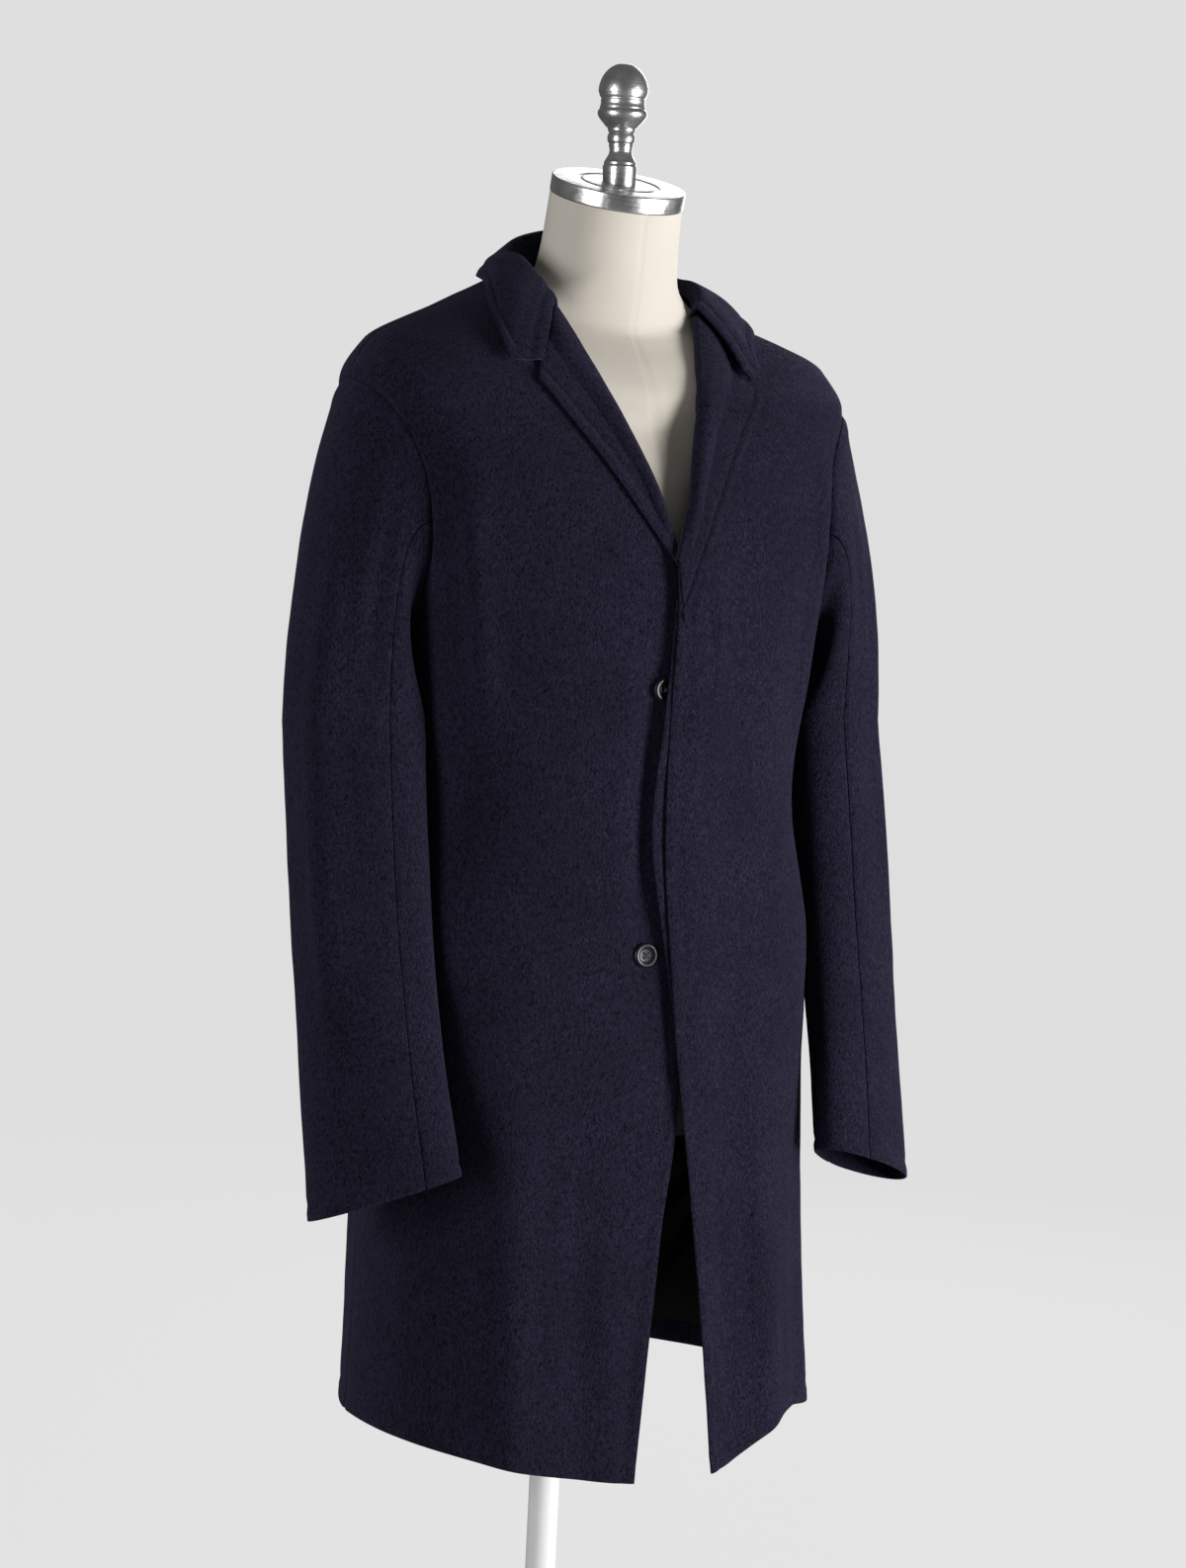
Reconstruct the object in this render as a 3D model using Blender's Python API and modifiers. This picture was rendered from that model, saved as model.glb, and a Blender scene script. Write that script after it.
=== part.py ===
"""A single-breasted wool overcoat, worn by a limbless tailor's dress form on a pole stand.

Metres, +Z up.  The wearer faces -Y, so the wearer's left is +X.  The origin is the centre of the
stand's underside.  Every cloth panel is a sheet lofted over one garment surface and then given its
wall by Solidify; the sewn edges of neighbouring panels lie SEAM_GAP apart.
"""

import math

import bmesh
import bpy
import numpy as np
from mathutils import Vector

# Driving sizes of the coat
CLOTH = 0.0020
COLLAR_CLOTH = 0.0026
LINING = 0.0010
SEAM_GAP = 0.0004
HEM = 0.602
NECK = 1.503
SHOULDER_POINT = 1.412
UNDERARM = 1.205
SHOULDER_TILT = 0.040
NECK_DROP = 0.017
ARMHOLE_FRONT = {1: math.radians(55.0), -1: math.radians(65.0)}
ARMHOLE_BACK = math.radians(114.0)
SIDE_SEAM = math.radians(96.0)
OVERLAP_LIFT = 0.0078
LEFT_HEM_LIFT = 0.023

# The lapels as seen from the front, by side (1 is left, -1 is right): how far from the middle and
# how high each named place is, how much narrower the lapel is between, and where its notch starts.
BREAK_POINT = {1: (-0.007, 1.288), -1: (0.000, 1.285)}
GORGE_END = {1: (0.058, 1.472), -1: (0.067, 1.474)}
LAPEL_FOOT = {1: (-0.004, 1.240), -1: (0.0025, 1.279)}
LAPEL_CORNER = {1: (0.092, 1.408), -1: (0.0995, 1.417)}
LAPEL_BOW = {1: 0.008, -1: -0.001}
LAPEL_ROLL = 0.0042
NOTCH_SHARE = {1: 0.72, -1: 0.80}

# Steps of the panels' grids: rows below the underarm, then steps up the armhole, which on a front are
# shared out between its edge above the underarm, its roll line and its neckline.
LOWER_ROWS = 12
EDGE_STEPS = 2
ROLL_STEPS = 6
NECK_STEPS = 4
ARMHOLE_STEPS = EDGE_STEPS + ROLL_STEPS + NECK_STEPS
FRONT_STEPS = 17
SHOULDER_STEPS = 6
BACK_NECK_STEPS = 7

# The garment's girths from hem to neckline: heights at the side, front and back, half the width,
# the middle of the girth, its depths to the front and back, and how square it is (2 = ellipse).
GIRTHS = (
    # name        side   front  back   half   middle  front  back   square
    ("hem",       HEM,   0.578, 0.607, 0.194, -0.045, 0.163, 0.163, 2.00),
    ("thigh",     0.730, 0.716, 0.732, 0.186, -0.034, 0.156, 0.158, 2.10),
    ("seat",      0.860, 0.855, 0.860, 0.183, -0.024, 0.148, 0.152, 2.20),
    ("hip",       0.970, 0.970, 0.970, 0.186, -0.015, 0.147, 0.142, 2.25),
    ("waist",     1.100, 1.100, 1.100, 0.165, -0.008, 0.147, 0.124, 2.30),
    ("chest",     1.240, 1.240, 1.245, 0.178, -0.003, 0.153, 0.132, 2.35),
    ("armhole",   1.335, 1.328, 1.345, 0.198,  0.000, 0.142, 0.134, 2.40),
    ("sleeve",    SHOULDER_POINT, 1.385, 1.408, 0.213, 0.000, 0.114, 0.120, 2.20),
    ("shoulder",  1.442, 1.411, 1.437, 0.198,  0.000, 0.099, 0.104, 1.95),
    ("yoke",      1.470, 1.445, 1.473, 0.143,  0.001, 0.075, 0.083, 1.90),
    ("neck",      NECK,  1.480, 1.510, 0.072,  0.004, 0.052, 0.056, 2.00),
)

# Folds that stand out of the garment surface: where round the body, how far each drifts sideways to
# its foot, the heights it runs between, how wide it is and how far out (or, less than 0, in).
FOLDS = (
    # name                turn   drift  top    foot   width  out
    ("right chest drape",  -57,   2,    1.400, 1.120,  4.5,  0.0050),
    ("left chest drape",    57,  -2,    1.410, 1.090,  4.5,  0.0055),
    ("right skirt flute",  -46,   5,    1.020, 0.560,  7.0,  0.0060),
    ("right skirt hollow", -27,   3,    0.980, 0.560,  7.0, -0.0050),
    ("left skirt flute",    38,  -4,    0.960, 0.560,  6.5,  0.0060),
    ("left skirt hollow",   56,  -3,    0.900, 0.560,  6.0, -0.0040),
    ("left side hollow",    80,   0,    1.150, 0.980,  9.0, -0.0050),
    ("right back flute",  -148,   4,    1.150, 0.560,  9.0,  0.0065),
    ("left back flute",    143,  -3,    1.120, 0.560,  9.0,  0.0060),
    ("back hollow",        176,   2,    1.060, 0.560, 10.0, -0.0050),
    ("right blade drape", -118,  -3,    1.390, 1.120,  6.0,  0.0045),
    ("left blade drape",   118,   3,    1.400, 1.100,  6.0,  0.0045),
)

# How far each front's edge reaches past the middle of the body.
FRONT_EDGES = (
    # name    height  left    right
    ("hem",   0.578,  0.036, -0.035),
    ("seat",  0.780,  0.019, -0.006),
    ("gap",   0.865,  0.010,  0.009),
    ("hip",   0.930,  0.003,  0.012),
    ("waist", 1.080, -0.008,  0.018),
    ("break", 1.285, -0.007,  0.034),
)

# The collar from its front end to the middle of the back: how high its fold rises over the foot of
# its stand, how far out the fold lies, and the turn and height of its free edge on each side.  Its
# first row starts at the end of the gorge and ends in the notch.  Its second ends in the corner
# and starts at a share of the neckline from the gorge to the shoulder.
COLLAR = (
    # turn  rise   fold out  left turn  height  right turn  height
    (None,  0.006, 0.004,     None,     None,    None,      None),
    (None,  0.009, 0.005,     54.0,     1.427,   55.3,      1.429),
    (72.0,  0.009, 0.006,     61.0,     1.441,   64.0,      1.453),
    (90.0,  0.010, 0.006,     84.0,     1.464,   84.0,      1.486),
    (110.0, 0.012, 0.006,    106.0,     1.472,  106.0,      1.491),
    (130.0, 0.020, 0.006,    129.0,     1.479,  129.0,      1.491),
    (180.0, 0.027, 0.006,    180.0,     1.484,  180.0,      1.484),
)
COLLAR_CORNER_SHARE = 0.25
COLLAR_EDGE_OUT = 0.0060
COLLAR_BULGE = 0.0045

# The sleeves from under the armhole to the cuff: the middle of each section outward, forward and up,
# the half lengths of its long and short axes, how far the long axis turns in towards the front, and
# how the section's plane rises towards the front and towards the body.
SLEEVES = {
    1: (
        # name       out    forward up     long   short  turn  front  inner
        ("biceps",   0.215, 0.027,  1.150, 0.057, 0.035, 42,   0.10,  0.00),
        ("elbow",    0.219, 0.050,  1.030, 0.057, 0.034, 38,   0.15,  0.02),
        ("forearm",  0.219, 0.085,  0.905, 0.058, 0.031, 34,   0.20,  0.10),
        ("cuff",     0.214, 0.120,  0.795, 0.061, 0.029, 30,   0.28,  0.27),
    ),
    -1: (
        ("biceps",   0.213, 0.027,  1.150, 0.057, 0.035, 42,   0.10,  0.00),
        ("elbow",    0.213, 0.050,  1.030, 0.056, 0.034, 42,   0.15,  0.02),
        ("forearm",  0.213, 0.085,  0.905, 0.056, 0.031, 42,   0.20,  0.10),
        ("cuff",     0.212, 0.120,  0.795, 0.059, 0.028, 40,   0.28,  0.27),
    ),
}
SLEEVE_LENGTHS = (0.30, 0.17, 0.20, 0.18)
SLEEVE_CLEAR = 0.0016
SLEEVE_FOLDS = (
    # name            turn  width  top    foot   out
    ("front ridge",    32,   14,   0.03,  0.80,  0.0050),
    ("outer flat",    352,   20,   0.10,  0.90, -0.0030),
    ("elbow hollow",  262,   18,   0.35,  0.80, -0.0030),
)
UNDER_SLEEVE = (math.radians(90.0), math.radians(240.0))
SLEEVE_SEAM_GAP = 0.0018
CUFF_LINING = (0.86, 0.975)

# The strip with the hidden buttonholes: how far its edge shows past the left front's edge.
FLY_EDGE = (
    # height  past
    (0.905,  -0.003),
    (1.000,   0.005),
    (1.080,   0.011),
    (1.170,   0.005),
    (1.260,   0.001),
)
FLY_COLUMNS = 4
FLY_CLOTH = 0.0014

# The buttons sewn on the right front.
BUTTONS = (
    # height  x
    (1.268,   0.007),
    (1.188,  -0.011),
    (1.086,  -0.006),
    (0.983,  -0.019),
)
BUTTON_WIDTH = 0.0195
BUTTON_THICKNESS = 0.0028

# The lining inside the back: side seam to side seam, between these heights.
LINING_FOOT = 0.622
LINING_TOP = 0.950

# The dress form: how far its body stays inside the garment surface at each height, then its neck.
FORM = (
    # height  inside
    (0.838,   0.034),
    (0.980,   0.032),
    (1.085,   0.030),
    (1.200,   0.016),
    (1.300,   0.012),
    (1.412,   0.013),
    (1.436,   0.0075),
    (1.448,   0.0040),
    (1.460,   0.0034),
    (1.474,   0.0060),
    (1.486,   0.0070),
)
FORM_BOTTOM = 0.834
FORM_NECK = (
    # height  radius  forward
    (1.502,   0.0580, 0.004),
    (1.518,   0.0550, 0.008),
    (1.540,   0.0535, 0.012),
)
CAP_MIDDLE = (0.0, -0.020, 1.574)
CAP_TILT = math.radians(14.0)
CAP_RADIUS = 0.0532
CAP_THICKNESS = 0.0130

# The finial's swells and necks up to where its dome starts.
FINIAL = (
    # name           height  radius
    ("foot",         0.000,  0.0130),
    ("foot swell",   0.009,  0.0135),
    ("long neck",    0.021,  0.0088),
    ("bead",         0.031,  0.0110),
    ("upper neck",   0.035,  0.0105),
    ("lower swell",  0.050,  0.0196),
    ("waist",        0.058,  0.0173),
    ("upper swell",  0.067,  0.0196),
)
FINIAL_DOME = 0.022
FINIAL_LIFT = 0.0035

POLE_RADIUS = 0.0125
BASE_RADIUS = 0.190
BASE_THICKNESS = 0.012
BASE_BOSS = 0.006

WOOL = ("navy_wool", (0.012, 0.011, 0.024), 0.92, 0.0)
SATIN = ("black_lining", (0.003, 0.003, 0.004), 0.35, 0.0)
HORN = ("black_button", (0.004, 0.004, 0.005), 0.25, 0.0)
JERSEY = ("natural_cloth", (0.70, 0.64, 0.55), 0.85, 0.0)
ALUMINIUM = ("turned_aluminium", (0.80, 0.80, 0.81), 0.28, 1.0)
PAINT = ("pale_painted_steel", (0.72, 0.72, 0.72), 0.45, 0.0)


# ---- curves and the garment surface ----


def smooth(knots, values, at):
    """The value at each place `at` of a smooth curve through the knots, with no overshoot."""
    knots = np.asarray(knots, float)
    values = np.asarray(values, float)
    at = np.clip(at, knots[0], knots[-1])
    steps = np.diff(knots)
    slopes = np.diff(values) / steps
    product = slopes[:-1] * slopes[1:]
    total = np.where(product > 0, slopes[:-1] + slopes[1:], 1.0)
    inner = np.where(product > 0, 2 * product / total, 0.0)
    bends = np.concatenate([slopes[:1], inner, slopes[-1:]])
    span = np.clip(np.searchsorted(knots, at, side="right") - 1, 0, len(steps) - 1)
    t = (at - knots[span]) / steps[span]
    start, end = values[span], values[span + 1]
    leave, arrive = bends[span] * steps[span], bends[span + 1] * steps[span]
    return (
        start * (2 * t**3 - 3 * t**2 + 1)
        + leave * (t**3 - 2 * t**2 + t)
        + end * (3 * t**2 - 2 * t**3)
        + arrive * (t**3 - t**2)
    )


def ease(share):
    """0 to 1 with a soft start and end."""
    share = np.clip(share, 0, 1)
    return share * share * (3 - 2 * share)


def bump(distance, width):
    return np.exp(-((distance / width) ** 2))


def column(table, place):
    return np.array([row[place] for row in table], float)


def girth(place, height):
    """One column of GIRTHS, by its place after the name, at the given side heights."""
    return smooth(column(GIRTHS, 1), column(GIRTHS, place), height)


def left_drop(x, height):
    """How much lower the left shoulder and the left of the neck hang than the right."""
    shoulder = SHOULDER_TILT * x * ease((height - 1.25) / 0.17) * ease((x - 0.10) / 0.08)
    return shoulder + NECK_DROP * bump(x - 0.10, 0.055) * ease((height - 1.42) / 0.04)


def bare_surface(turn, height):
    """Points of the garment surface; turn is 0 at the front and grows to the wearer's left."""
    turn, height = np.broadcast_arrays(np.asarray(turn, float), np.asarray(height, float))
    sine, cosine = np.sin(turn), np.cos(turn)
    front = cosine > 0
    depth = np.where(front, girth(6, height), girth(7, height))
    level = np.where(front, girth(2, height), girth(3, height))
    power = girth(8, height)
    across = (np.abs(sine) / girth(4, height)) ** power
    reach = (across + (np.abs(cosine) / depth) ** power) ** (-1 / power)
    x = reach * sine
    y = girth(5, height) - reach * cosine
    level = height + (level - height) * cosine**2 - left_drop(x, height)
    return np.stack([x, y, level], axis=-1)


def surface_normal(turn, height):
    step = 1e-4
    along = bare_surface(turn + step, height) - bare_surface(turn - step, height)
    top = np.minimum(height + step, NECK)
    up = bare_surface(turn, top) - bare_surface(turn, top - 2 * step)
    normal = np.cross(along, up)
    return normal / np.linalg.norm(normal, axis=-1, keepdims=True)


def folds_at(turn, height):
    """How far all the folds together stand out; those that reach the hem grow down to it."""
    out = np.zeros(np.broadcast(turn, height).shape)
    for _, middle, drift, top, foot, width, rise in FOLDS:
        down = np.clip((top - height) / (top - foot), 0, 1)
        away = (np.degrees(turn) - middle - drift * down + 180) % 360 - 180
        share = ease(down * 1.6) if foot < HEM else ease(down * 3) * ease((1 - down) * 3)
        out = out + rise * bump(away, width) * share
    return out


def garment(turn, height, out=0.0):
    """Points `out` metres outside the garment surface with its folds."""
    turn, height = np.broadcast_arrays(np.asarray(turn, float), np.asarray(height, float))
    reach = (out + folds_at(turn, height))[..., None]
    points = bare_surface(turn, height) + surface_normal(turn, height) * reach
    low = ease((HEM + 0.15 - height) / 0.15)
    points[..., 2] += LEFT_HEM_LIFT * low * bump(np.degrees(turn) - 42, 19)
    return points


def side_height(turn, level):
    """The side height whose girth passes through the height `level` at each turn."""
    turn, level = np.broadcast_arrays(np.asarray(turn, float), np.asarray(level, float))
    heights = np.linspace(HEM, NECK, 240)
    found = [
        np.interp(z, bare_surface(np.full(240, t), heights)[:, 2], heights)
        for t, z in zip(turn.ravel(), level.ravel())
    ]
    return np.array(found).reshape(turn.shape)


def from_front(x, level, side):
    """Turn and side height of the point seen from the front `x` out to a side, at height `level`."""
    x, level = np.broadcast_arrays(np.asarray(x, float), np.asarray(level, float))
    low, high = np.full(x.shape, -math.pi / 4), np.full(x.shape, math.pi / 2)
    for _ in range(16):
        turn = (low + high) / 2
        height = side_height(turn * side, level)
        short = bare_surface(turn * side, height)[..., 0] * side < x
        low, high = np.where(short, turn, low), np.where(short, high, turn)
    return turn, height


# ---- the lines that the panels are cut on ----


def armhole(angle, side, shrink=0.0):
    """Turn and side height on a side's armhole; angle is 0 on top, a quarter at its front."""
    middle = (SHOULDER_POINT + UNDERARM) / 2
    radius = (SHOULDER_POINT - UNDERARM) / 2 - shrink
    sine = np.sin(angle)
    reach = np.where(sine > 0, math.pi / 2 - ARMHOLE_FRONT[side], ARMHOLE_BACK - math.pi / 2)
    lean = (SIDE_SEAM - math.pi / 2) * (1 - np.cos(angle)) / 2
    turn = math.pi / 2 + lean * (1 - np.abs(sine) / 2) - sine * (reach - shrink / 0.20)
    return turn, middle + radius * np.cos(angle)


def armhole_angles():
    """Angles from the underarm up to the shoulder point, shared by bodies and sleeves."""
    return np.linspace(math.pi, 0, ARMHOLE_STEPS + 1)


def front_edge(height, side):
    """Turn of a front's edge at each height, for side 1 (left) or -1 (right)."""
    x = smooth(column(FRONT_EDGES, 1), column(FRONT_EDGES, 2 if side > 0 else 3), height)
    return np.arctan2(x, girth(6, height))


def between(start, end, share, side, bow=0.0):
    """Turn and side height on the line, seen from the front, between two places of a side."""
    (x, level), (end_x, end_level) = start[side], end[side]
    return from_front(x + (end_x - x) * share - bow, level + (end_level - level) * share, side)


def roll_line(share, side):
    """Turn and side height on the straight line on which a lapel rolls, from its break."""
    return between(BREAK_POINT, GORGE_END, share, side)


def front_neckline(share, side):
    """Turn and side height of a front's neckline, from the gorge to the shoulder seam."""
    turn, height = roll_line(np.array([1.0]), side)
    return turn + (math.pi / 2 - turn) * share, height + (NECK - height) * (1 - (1 - share) ** 2)


def neckline(turn, side):
    """Side height of the whole neckline at each turn."""
    start = roll_line(np.array([1.0]), side)[0]
    share = np.clip((turn - start) / (math.pi / 2 - start), 0, 1)
    return front_neckline(share, side)[1]


def lapel_edge(share, side):
    """Turn and side height of a lapel's free edge, from its foot to its corner."""
    bow = LAPEL_BOW[side] * np.sin(math.pi * share**0.85)
    return between(LAPEL_FOOT, LAPEL_CORNER, share, side, bow)


def gorge_line(share, side):
    """Turn and side height from the roll line (0) to the lapel's corner (1)."""
    start, end = roll_line(np.array([1.0]), side), lapel_edge(np.array([1.0]), side)
    return start[0] + (end[0] - start[0]) * share, start[1] + (end[1] - start[1]) * share


def overlap_lift(turn, height):
    """How far the left front lies over the right one: full at its edge, none above the break."""
    near = ease((math.radians(24) - turn) / math.radians(20))
    return OVERLAP_LIFT * near * ease((BREAK_POINT[1][1] + 0.09 - height) / 0.09)


def lapel_out(share, up):
    """How far a lapel's underside stands off its front, from the roll line to its edge.

    Its roll grows from nothing at the break (`up` 0) to its whole depth a third of the way up.
    """
    roll = LAPEL_ROLL * np.sin(np.clip(share / 0.45, 0, 1) * math.pi) * ease(up * 3)
    return CLOTH + SEAM_GAP + roll + 0.001 * share


# ---- making objects ----


def material(finish):
    name, colour, roughness, metallic = finish
    made = bpy.data.materials.get(name)
    if made is None:
        made = bpy.data.materials.new(name)
        made.use_nodes = True
        shader = made.node_tree.nodes["Principled BSDF"]
        shader.inputs["Base Color"].default_value = (*colour, 1.0)
        shader.inputs["Roughness"].default_value = roughness
        shader.inputs["Metallic"].default_value = metallic
    return made


def add_object(name, mesh, finish):
    made = bpy.data.objects.new(name, mesh)
    bpy.data.collections["wool_overcoat"].objects.link(made)
    made.data.materials.append(material(finish))
    return made


def sheet(name, points, finish, wall, closed=False):
    """A cloth sheet through rows of points, walled by `wall` metres along its normal.

    Rows that run up and across to the left have an outward normal; a wall below 0 goes inward.
    """
    across = points.shape[1]
    shape = bmesh.new()
    corners = [[shape.verts.new(tuple(map(float, point))) for point in row] for row in points]
    for below, above in zip(corners[:-1], corners[1:]):
        for i in range(across if closed else across - 1):
            j = (i + 1) % across
            shape.faces.new((below[i], below[j], above[j], above[i]))
    mesh = bpy.data.meshes.new(name)
    shape.to_mesh(mesh)
    shape.free()
    mesh.shade_smooth()
    made = add_object(name, mesh, finish)
    solidify = made.modifiers.new("wall", "SOLIDIFY")
    solidify.thickness = abs(wall)
    solidify.offset = 1.0 if wall > 0 else -1.0
    return made


def solid(name, rings, finish):
    """A closed solid through rings of points, from the lowest up, with flat ends."""
    shape = bmesh.new()
    corners = [[shape.verts.new(tuple(map(float, point))) for point in ring] for ring in rings]
    around = len(corners[0])
    for below, above in zip(corners[:-1], corners[1:]):
        for i in range(around):
            j = (i + 1) % around
            shape.faces.new((below[i], below[j], above[j], above[i]))
    shape.faces.new(corners[0][::-1])
    shape.faces.new(corners[-1])
    mesh = bpy.data.meshes.new(name)
    shape.to_mesh(mesh)
    shape.free()
    mesh.shade_smooth()
    mesh.set_sharp_from_angle(angle=math.radians(40))
    return add_object(name, mesh, finish)


def turned(name, profile, steps, finish):
    """A round piece: its profile, from the axis down its outer side, turned about Z."""
    mesh = bpy.data.meshes.new(name)
    edges = [(i, i + 1) for i in range(len(profile) - 1)]
    mesh.from_pydata([(radius, 0.0, z) for radius, z in profile], edges, [])
    made = add_object(name, mesh, finish)
    screw = made.modifiers.new("turn", "SCREW")
    screw.steps = steps
    screw.render_steps = steps
    screw.use_merge_vertices = True
    screw.merge_threshold = 0.00001
    screw.use_smooth_shade = True
    return made


def blend(start, end, shares):
    """Straight steps in turn and height between two ends, for every row of the panel."""
    turn = start[0][:, None] + (end[0] - start[0])[:, None] * shares
    height = start[1][:, None] + (end[1] - start[1])[:, None] * shares
    return turn, height


def on_side(turn, height, out, side):
    """Points of a panel drawn for the left side, or mirrored in turn for the right one."""
    points = garment(turn * side, height, out)
    return points if side > 0 else points[:, ::-1]


def label(side):
    return "left" if side > 0 else "right"


# ---- the coat ----


def front_grid(side):
    """Turns and heights of a front: from its edge, roll line or neckline to its side or armhole."""
    seam = np.linspace(HEM, UNDERARM, LOWER_ROWS)
    edge_top = np.linspace(UNDERARM, BREAK_POINT[side][1], EDGE_STEPS + 1)
    level = np.concatenate([seam, edge_top[1:]])
    rolled = roll_line(np.linspace(0, 1, ROLL_STEPS + 1)[1:], side)
    neck = front_neckline(np.linspace(0, 1, NECK_STEPS + 1)[1:], side)
    hole = armhole(armhole_angles()[1:], side)
    start = (
        np.concatenate([front_edge(level, side) * side, rolled[0], neck[0]]),
        np.concatenate([level, rolled[1], neck[1]]),
    )
    end = (
        np.concatenate([SIDE_SEAM - SEAM_GAP / girth(4, seam), hole[0]]),
        np.concatenate([seam, hole[1]]),
    )
    turn, height = blend(start, end, np.linspace(0, 1, FRONT_STEPS + 1))
    turn[-1] -= SEAM_GAP / 2 / girth(4, height[-1])
    return turn, height


def front_panel(side):
    turn, height = front_grid(side)
    out = overlap_lift(turn, height) if side > 0 else 0.0
    return sheet("front_" + label(side), on_side(turn, height, out, side), WOOL, CLOTH)


def back_grid():
    """Turns and heights of the back's left half: from side seam or armhole to the middle."""
    steps = np.arange(SHOULDER_STEPS + BACK_NECK_STEPS + 1)
    across = steps / steps[-1]
    seam = np.linspace(HEM, UNDERARM, LOWER_ROWS)
    lower_turn = np.tile(SIDE_SEAM + (math.pi - SIDE_SEAM) * across, (LOWER_ROWS, 1))
    lower_height = np.tile(seam[:, None], (1, len(steps)))
    along_seam = np.clip(steps / SHOULDER_STEPS, 0, 1)
    along_neck = np.clip((steps - SHOULDER_STEPS) / BACK_NECK_STEPS, 0, 1)
    top_height = SHOULDER_POINT + (NECK - SHOULDER_POINT) * along_seam
    seam_turn = math.pi / 2 + SEAM_GAP / 2 / girth(4, top_height)
    top_turn = seam_turn + (math.pi - seam_turn) * along_neck
    hole_turn, hole_height = armhole(2 * math.pi - armhole_angles(), 1)
    hole_turn[-1] = top_turn[0]
    middle_height = np.linspace(UNDERARM, NECK, ARMHOLE_STEPS + 1)
    turn = patch(hole_turn, np.full(ARMHOLE_STEPS + 1, math.pi), lower_turn[-1], top_turn)
    height = patch(hole_height, middle_height, lower_height[-1], top_height)
    return np.concatenate([lower_turn, turn[1:]]), np.concatenate([lower_height, height[1:]])


def patch(left, right, bottom, top):
    """Values over a grid whose four edges are given: rows from bottom to top, across left to right."""
    up = np.linspace(0, 1, len(left))[:, None]
    over = np.linspace(0, 1, len(bottom))[None, :]
    sides = left[:, None] * (1 - over) + right[:, None] * over
    ends = bottom[None, :] * (1 - up) + top[None, :] * up
    lower = bottom[0] * (1 - over) + bottom[-1] * over
    upper = top[0] * (1 - over) + top[-1] * over
    return sides + ends - lower * (1 - up) - upper * up


def both_halves(turn, height, out=0.0):
    """The back's points from its left side to its right one, through the middle."""
    left = garment(turn, height, out)
    right = garment(-turn, height, out)
    return np.concatenate([left, right[:, -2::-1]], axis=1)


def back_panel():
    """One plain back."""
    return sheet("back", both_halves(*back_grid()), WOOL, CLOTH)


def back_lining():
    """The lining inside the back, made from the back's own points, where the opening shows it."""
    turn, height = back_grid()
    rows = int(np.searchsorted(height[:LOWER_ROWS, 0], LINING_TOP)) + 1
    turn, height = turn[:rows, 1:].copy(), height[:rows, 1:].copy()
    height[0] = LINING_FOOT
    return sheet("back_lining", both_halves(turn, height, -SEAM_GAP), SATIN, -LINING)


def lapel(side):
    """The turned-back facing: it leaves the roll line in a soft roll and lies on its front."""
    rows = np.linspace(0, 1, 13)
    shares = np.linspace(0, 1, 9) ** 1.2
    turn, height = blend(roll_line(rows, side), lapel_edge(rows, side), shares)
    lift = overlap_lift(turn, height) if side > 0 else 0.0
    points = on_side(turn, height, lapel_out(shares, rows[:, None]) + lift, side)
    return sheet("lapel_" + label(side), points, WOOL, CLOTH)


def over_neck(turn, height, rise, out):
    """A point `rise` above the neckline, `out` off the upright wall that stands on it."""
    upright = np.stack([np.sin(turn), -np.cos(turn), np.zeros_like(turn)], axis=-1)
    point = bare_surface(turn, height) + upright * np.asarray(out)[..., None]
    point[..., 2] += rise
    return point


def cornered(knots, values, at):
    """Straight to the second knot, so that a corner stays there, and a smooth curve after it."""
    first = values[0] + (values[1] - values[0]) * (at - knots[0]) / (knots[1] - knots[0])
    return np.where(at < knots[1], first, smooth(knots[1:], values[1:], at))


def collar_half(at, shares, side):
    """The collar's hidden side from its front end to the middle of the back."""
    knots = np.radians(column(COLLAR, 0))
    knots[:2] = front_neckline(np.array([0.0, COLLAR_CORNER_SHARE]), side)[0]
    height = neckline(at, side)
    foot = over_neck(at * side, height, 4 * SEAM_GAP, 0.0 * at)
    rise = smooth(knots, column(COLLAR, 1), at)
    fold = over_neck(at * side, height, rise, smooth(knots, column(COLLAR, 2), at))
    place = 3 if side > 0 else 5
    notch = gorge_line(NOTCH_SHARE[side], side)
    edge_turns = np.radians(column(COLLAR, place))
    edge_heights = side_height(edge_turns[1:] * side, column(COLLAR, place + 1)[1:])
    edge_turns[0] = notch[0][0]
    edge_heights = np.concatenate([notch[1] + 4 * SEAM_GAP, edge_heights])
    edge_turn, edge_height = cornered(knots, edge_turns, at), cornered(knots, edge_heights, at)
    edge = garment(edge_turn * side, edge_height, COLLAR_EDGE_OUT)
    outward = np.cross(edge - fold, np.gradient(edge, axis=0))
    outward /= np.linalg.norm(outward, axis=-1, keepdims=True)
    away = np.sum(outward * surface_normal(edge_turn * side, edge_height), axis=-1, keepdims=True)
    middle = (fold + edge) / 2 + outward * np.sign(away) * COLLAR_BULGE
    places = np.array([0.0, 0.30, 0.62, 1.0])
    lines = np.stack([foot, fold, middle, edge]).reshape(4, -1)
    across = np.array([smooth(places, lines[:, i], shares) for i in range(lines.shape[1])])
    return across.reshape(len(at), 3, len(shares)).transpose(0, 2, 1)


def collar():
    """One piece round the neck, on the neckline's own points: its stand rises, rolls and falls."""
    back_turns = np.linspace(math.pi / 2, math.pi, BACK_NECK_STEPS + 1)[1:]
    shares = np.array([0.0, 0.16, 0.26, 0.34, 0.42, 0.54, 0.68, 0.84, 1.0])
    halves = []
    for side in (1, -1):
        front_turns = front_neckline(np.linspace(0, 1, NECK_STEPS + 1), side)[0]
        halves.append(collar_half(np.concatenate([front_turns, back_turns]), shares, side))
    return sheet("collar", np.concatenate([halves[0], halves[1][-2::-1]]), WOOL, COLLAR_CLOTH)


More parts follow.
